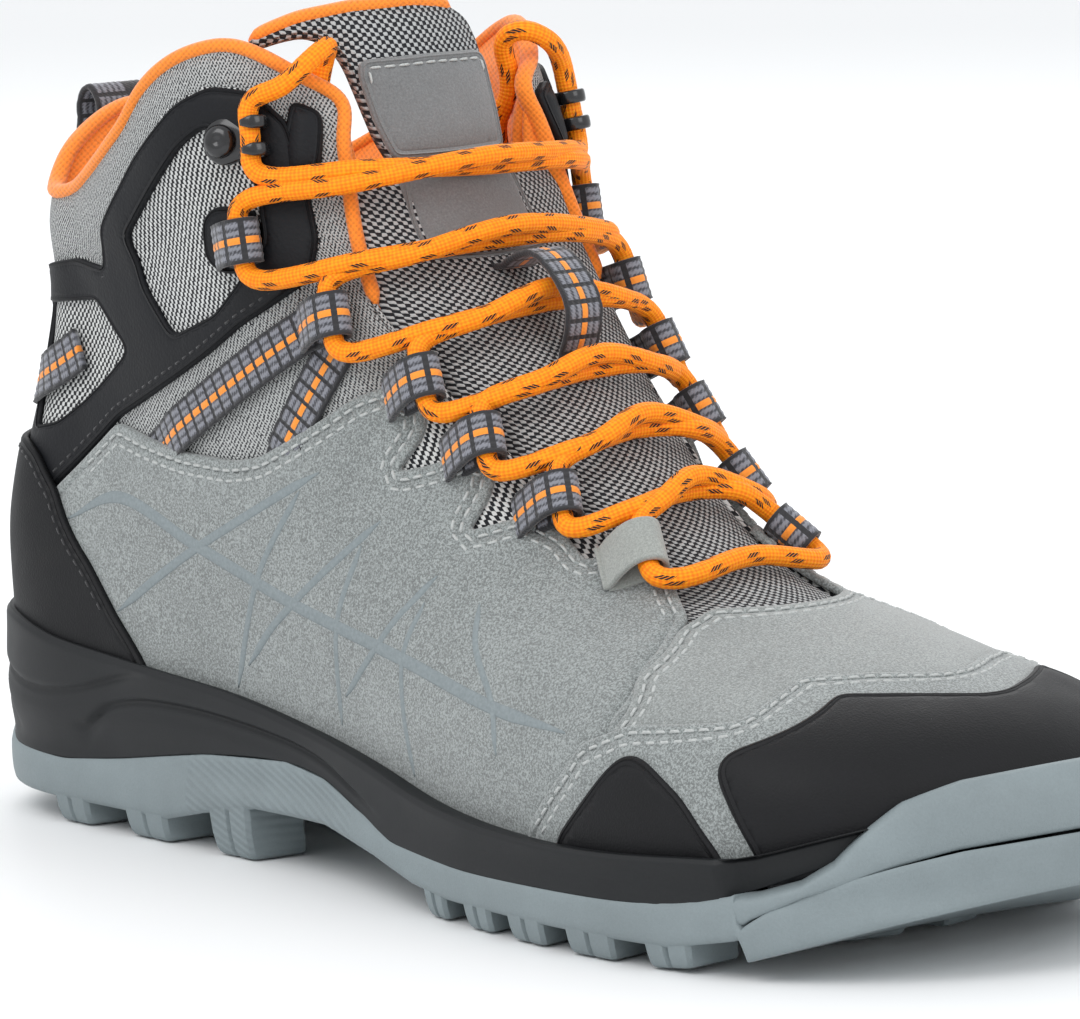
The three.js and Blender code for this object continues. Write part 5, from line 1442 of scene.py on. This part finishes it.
# ---------------------------------------------------------------- collar: lining and binding
# Foam between the outer cloth and an orange mesh that rolls over the topline and lines the shaft; the
# seam between the two is bound with a folded orange tape that runs on down both front edges.
edge_pairs = np.array(THROAT[7:] + TOPLINE[:-1], float)
lateral_edge = on_last(LATERAL, edge_pairs[:, 0], edge_pairs[:, 1])
medial_edge = on_last(MEDIAL, edge_pairs[:, 0], edge_pairs[:, 1])[::-1]
back_edge = last_point(0.0, 143.0, LATERAL)[None]
edge_path = eased_path(smooth_path(np.vstack([lateral_edge, back_edge, medial_edge]), 1.1), 6)
edge_points, edge_normals = settle(edge_path)


def orange_mesh(name, shade):
    """Warp-knit mesh: rows of small holes between raised loops."""
    maker = Maker(name, 0.8, Sheen_Weight=0.3)
    place, x, y = maker.place()
    z = maker.node("ShaderNodeSeparateXYZ", {0: place}).outputs[2]
    around = maker.math("MULTIPLY", maker.math("ADD", x, y), 3.9)
    rows = maker.math("SINE", maker.math("MULTIPLY", z, 5.2))
    loops = maker.math("MULTIPLY", maker.math("SINE", around), rows)
    grain = maker.noise(place, 1.5, 3.0)
    height = maker.math("MULTIPLY_ADD", loops, 0.35, grain)
    colour = maker.ramp(height, [(0.2, tuple(np.array(shade) * 0.72)), (0.6, shade)])
    return maker.finish(colour, height, 0.45, 0.0003)


piping_cloth = orange_mesh("piping_cloth", (0.95, 0.25, 0.012))
lining_mesh = orange_mesh("lining_mesh", (0.93, 0.235, 0.012))


def piping(name, points, normals, body, nodes, radii, drop):
    """A folded tape seen as an oval cord along an edge, drop below it, tapering to small end caps."""
    over = np.cross(tangents(points), normals)
    over /= np.linalg.norm(over, axis=1, keepdims=True)
    turn = 2 * np.pi * np.arange(14) / 14
    from_end = np.minimum(np.arange(len(points)), np.arange(len(points))[::-1])
    taper = np.minimum(1, 0.35 + 0.3 * from_end)[:, None, None]
    rings = (points - drop * normals)[:, None] + taper * (
        radii[0] * np.cos(turn)[None, :, None] * normals[:, None]
        + radii[1] * np.sin(turn)[None, :, None] * over[:, None])
    piece = add_piece(name, rings.reshape(-1, 3), ring_faces(len(points), 14))
    finish_piece(piece, body, "orange_trim", piping_cloth, *nodes)


piping("collar_binding_tape", edge_points, edge_normals, "boot", ["collar_binding"], (1.9, 1.5), 0.5)

edge_theta = theta_at(edge_points[:, 0], edge_points[:, 2])
edge_side = np.where(edge_points[:, 1] < centre_line(edge_points[:, 0]), LATERAL, MEDIAL)
DEEPEST = 34   # the lining's foot, where the foot lining takes over
descent = np.concatenate([[0, 0.4, 1, 2, 3.2, 4.8, 6.6, 8.6, 11, 14, 18, 23, 29, 36], np.linspace(44, 120, 14)])


def lining_row(d, front):
    """The pad's front or back skin, d below the topline: its depth grows from the edge and thins out
    again lower down, and slanted quilting waves run over its front."""
    z = np.maximum(edge_points[:, 2] - d, DEEPEST + 0.01 * d)
    if front:
        waves = 0.22 * np.sin((edge_theta * 130 + z) * 1.1) * ease((d - 5) / 6) * ease((60 - d) / 20)
        depth = -1.4 - 5.1 * ease(d / 10) ** 0.8 + 3.0 * ease((d - 46) / 40) + waves[:, None]
    else:
        depth = -1.2 - 3.6 * ease(d / 14) + 2.2 * ease((d - 46) / 40)
    return last_point(edge_theta, z, edge_side) + depth * last_normal(edge_theta, z, edge_side)


lining_rings = np.stack([lining_row(d, True) for d in descent] + [lining_row(d, False) for d in descent[::-1]], 1)
collar_pad = add_piece("collar_pad", lining_rings.reshape(-1, 3), ring_faces(*lining_rings.shape[:2]))
finish_piece(collar_pad, "boot", "collar_mesh", lining_mesh, "collar_lining", "collar_padding")

# ---------------------------------------------------------------- tongue
# Padded cloth in the dark weave, sewn in under the throat; its free top is bound in orange, faced with a
# suede patch and lined with the collar's mesh.


def front_outline(pairs):
    """Chart places for points given as distance across from the centre line and height."""
    y, z = np.array(pairs, float).T
    x = along(FRONT, z) - y * y / 70
    settled, _ = settle(np.stack([x, y + centre_line(x), z], -1))
    return chart_of(settled, RIDGE)


tongue_side = [(x - 3.5, z - 1.2) for x, z in THROAT[:10]]
tongue_outline = np.vstack([
    wall(LATERAL, tongue_side, RIDGE), front_outline([(-12, 137.7), (0, 137.7), (12, 137.7)]),
    wall(MEDIAL, tongue_side[::-1], RIDGE), front_outline([(8, 55.5), (0, 55), (-8, 55.5)])])
tongue_lower, _ = panel("tongue_lower_pad", [tongue_outline], RIDGE, -2.0, -5.0, width=1.5, dip=0.0,
                        levels=RIDGE, swell=lambda points, distance: 1.5 * ease(distance / 8))
add_cloth_uv(tongue_lower, RIDGE)
tongue_weave = weave("tongue_weave", (0.42, 0.43, 0.43), (0.010, 0.011, 0.014), 1.7, -0.04, 0.5)
finish_piece(tongue_lower, "boot", "upper_textile", tongue_weave, "tongue_lower")

# The free top as (across from the centre line, height); its outer corner reaches out as a narrow wing.
flap_pairs = [(-13.5, 138.4), (-15.5, 144), (-16.5, 152), (-17.5, 158), (-19.5, 162), (-24, 163.2),
              (-30, 161.8), (-34, 160.2), (-35, 161.4), (-31.5, 163.8), (-24, 166.8), (-14, 168.8), (0, 169.4),
              (9, 168.4), (15, 165), (17, 159), (16.5, 152), (15.5, 144), (13.5, 138.4), (0, 138.4)]
tongue_top, flap_edges = panel("tongue_top_pad", [front_outline(flap_pairs)], RIDGE, -2.0, -5.2, width=1.5,
                               dip=0.0, levels=RIDGE, passes=4,
                               swell=lambda points, distance: 0.9 * ease(distance / 7))
add_cloth_uv(tongue_top, RIDGE)
finish_piece(tongue_top, "tongue_flap", "upper_textile", tongue_weave, "tongue_top")
# The lining is a little smaller than the flap and leaves out its wing.
FLAP_FOOT = 138.6
lining_pairs = [(np.clip(y, -18, 18) * 0.93, FLAP_FOOT + (z - FLAP_FOOT) * 0.975)
                for y, z in flap_pairs if y > -22]
tongue_lining, _ = panel("tongue_lining_mesh", [front_outline(lining_pairs)], RIDGE, -5.0, -6.2, width=1.2,
                         dip=0.0, levels=RIDGE, step=1.6)
finish_piece(tongue_lining, "tongue_flap", "orange_trim", lining_mesh, "tongue_lining")
# The piping follows the part of the flap's edge that faces up.
flap_line, _, flap_inward = flap_edges[0]
faces_up = (flap_line[:, 2] > 160.5) & (flap_inward[:, 2] < -0.2) & (flap_line[:, 1] < 12)
order = (np.arange(len(flap_line)) + int(np.argmin(faces_up))) % len(flap_line)
rim_points, rim_normals = settle(flap_line[order][faces_up[order]], -3.6)
piping("tongue_piping", rim_points, rim_normals, "tongue_flap", [], (2.3, 1.6), 0.0)

patch_suede = suede_material("patch_suede", (0.155, 0.158, 0.16), 0.9)
patch_pairs = [(-14, 139.2), (-15.4, 146), (-16, 156), (-15, 158.3), (0, 158.8), (15, 158.3), (16, 156),
               (15.4, 146), (14, 139.2), (0, 139.2)]
patch, patch_edges = panel("tongue_patch_suede", [front_outline(patch_pairs)], RIDGE, -0.35, -1.6, width=1.6,
                           dip=0.2, levels=RIDGE, swell=lambda points, distance: 0.3 * ease(distance / 6))
finish_piece(patch, "tongue_flap", "grey_suede", patch_suede, "tongue_patch")
rows = sewn_rows(patch_edges, (2.0,), -0.15, lambda p: p[:, 2] > 152)
stitches("patch_stitches", rows, pale_thread, "tongue_flap", "grey_suede", thickness=0.28)
lower_pairs = [(-15.5, 120.5), (-15.5, 128), (-14, 137.4), (0, 137.4), (14, 137.4), (15.5, 128),
               (15.5, 120.5), (0, 120)]
patch_low, _ = panel("tongue_patch_lower", [front_outline(lower_pairs)], RIDGE, -0.35, -1.6, width=1.6,
                     dip=0.2, levels=RIDGE)
finish_piece(patch_low, "boot", "grey_suede", patch_suede)

# ---------------------------------------------------------------- pressed lines of the quarter
# Thin blue-grey film, pressed flat into the suede in a branching pattern.
# Side views of the lines, each with its half width.
LINES = [
    ([(-110, 62), (-93, 68), (-65, 61), (-34, 53), (-5, 48), (7, 46), (35, 41), (58, 39)], 1.25),
    ([(-93, 45), (-78, 54), (-65, 61), (-47, 70), (-29, 79)], 0.95),
    ([(-34, 75), (-45, 58), (-50, 46), (-54, 34)], 0.8),
    ([(-50, 39), (-42, 47), (-34, 53), (-22, 62), (-11, 71)], 0.85),
    ([(-15, 66), (-19, 50), (-19, 40), (-18, 31)], 0.75), ([(-16, 37), (-10, 43), (-5, 48), (7, 62)], 0.8),
    ([(6, 57), (4, 46), (6, 36), (10, 25)], 0.7), ([(20, 58), (24, 51), (35, 41), (39, 33)], 0.7)]
film = Maker("pressed_film", 0.6)
film_place, _, _ = film.place()
film_grain = film.noise(film_place, 1.5, 3.0)
film_shade = film.ramp(film_grain, [(0.3, (0.17, 0.20, 0.21)), (0.7, (0.225, 0.26, 0.27))])
pressed_film = film.finish(film_shade, film_grain, 0.2, 0.0002)
LINE_SECTION = np.array([(-1, -0.3), (-1, -0.02), (-0.8, 0.12), (0, 0.16), (0.8, 0.12), (1, -0.02), (1, -0.3)])
for side, side_name in SIDES:
    points, faces = [], []
    total = 0
    for pairs, half_width in LINES:
        pairs = np.array(pairs, float)
        path, normals = settle(smooth_path(on_last(side, pairs[:, 0], pairs[:, 1]), 0.9), 0)
        tangent = np.gradient(path, axis=0)
        across = np.cross(tangent, normals)
        across /= np.linalg.norm(across, axis=1, keepdims=True)
        share = np.linspace(0, 1, len(path))
        half = half_width * np.minimum(1, 0.15 + 7 * np.minimum(share, 1 - share) ** 0.9)
        ring = path[:, None] + (LINE_SECTION[None, :, 0] * half[:, None])[..., None] * across[:, None]
        flat, flat_normals = settle(ring.reshape(-1, 3), 0)
        heights = SUEDE_TOP + 0.02 + np.tile(LINE_SECTION[:, 1], len(path))
        points.append(flat + heights[:, None] * flat_normals)
        faces += [[i + total for i in face] for face in ring_faces(len(path), len(LINE_SECTION))]
        total += len(flat)
    film_lines = add_piece("pressed_lines_" + side_name, np.vstack(points), faces)
    finish_piece(film_lines, "boot", "grey_suede", pressed_film)

# ---------------------------------------------------------------- loop patches and hook flaps
# Black sewn patches behind the upper webbing loops, and a padded half-round flap in front of each hook.
LOOP_PATCH = [(-61.5, 118.5), (-62, 126.5), (-59, 129.5), (-50, 129.5), (-46.5, 125), (-48, 117), (-57, 116)]
HOOK_FLAP = [(-45.5, 150.5), (-40.7, 148), (-39.3, 142), (-38.5, 136.5), (-43.5, 134.5), (-45.5, 141)]
for side, side_name in SIDES:
    shift = 0 if side == LATERAL else 6  # the inner side's loops sit further forward
    patch_line = wall(side, [(x + shift, z) for x, z in LOOP_PATCH])
    loop_patch, _ = panel("loop_patch_" + side_name, [patch_line], HEEL, 1.5, 0.1, width=1.1, dip=0.05,
                          step=1.4)
    finish_piece(loop_patch, "boot", "black_overlay", frame_film)
    flap_line = wall(side, [(x + shift * 0.3, z) for x, z in HOOK_FLAP])
    flap, _ = panel("hook_flap_" + side_name, [flap_line], HEEL, 2.3, 0.3, width=1.1, dip=0.05, step=1.1,
                    swell=lambda points, distance: 0.8 * ease(distance / 4))
    finish_piece(flap, "boot", "black_overlay", frame_film)

# ---------------------------------------------------------------- parts that stay as modelled
# The steel shank, the boards, the footbed, the lining and the stiffeners lie inside the boot.
# Each part's material: its name, roughness, colour and metalness.
HIDDEN = {
    "shank": ("spring_steel", 0.32, (0.42, 0.43, 0.45), 1.0),
    "insole_board": ("fibre_board", 0.85, (0.40, 0.32, 0.22), 0.0),
    "heel_stiffener": ("stiffener_board", 0.8, (0.33, 0.29, 0.24), 0.0),
    "toe_puff": ("puff_board", 0.8, (0.36, 0.32, 0.26), 0.0),
    "footbed": ("footbed_felt", 0.9, (0.06, 0.062, 0.066), 0.0),
    "foot_lining": ("lining_knit", 0.85, (0.10, 0.10, 0.105), 0.0),
}
for node_name, (material_name, roughness, shade, metallic) in HIDDEN.items():
    maker = Maker(material_name, roughness, Metallic=metallic)
    place, _, _ = maker.place()
    grain = maker.noise(place, 1.2, 4.0, 0.7)
    colour = maker.ramp(grain, [(0.3, tuple(np.array(shade) * 0.75)), (0.7, tuple(np.array(shade) * 1.2))])
    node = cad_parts[node_name]
    node.data.materials.clear()
    node.data.materials.append(maker.finish(colour, grain, 0.3, 0.0003))
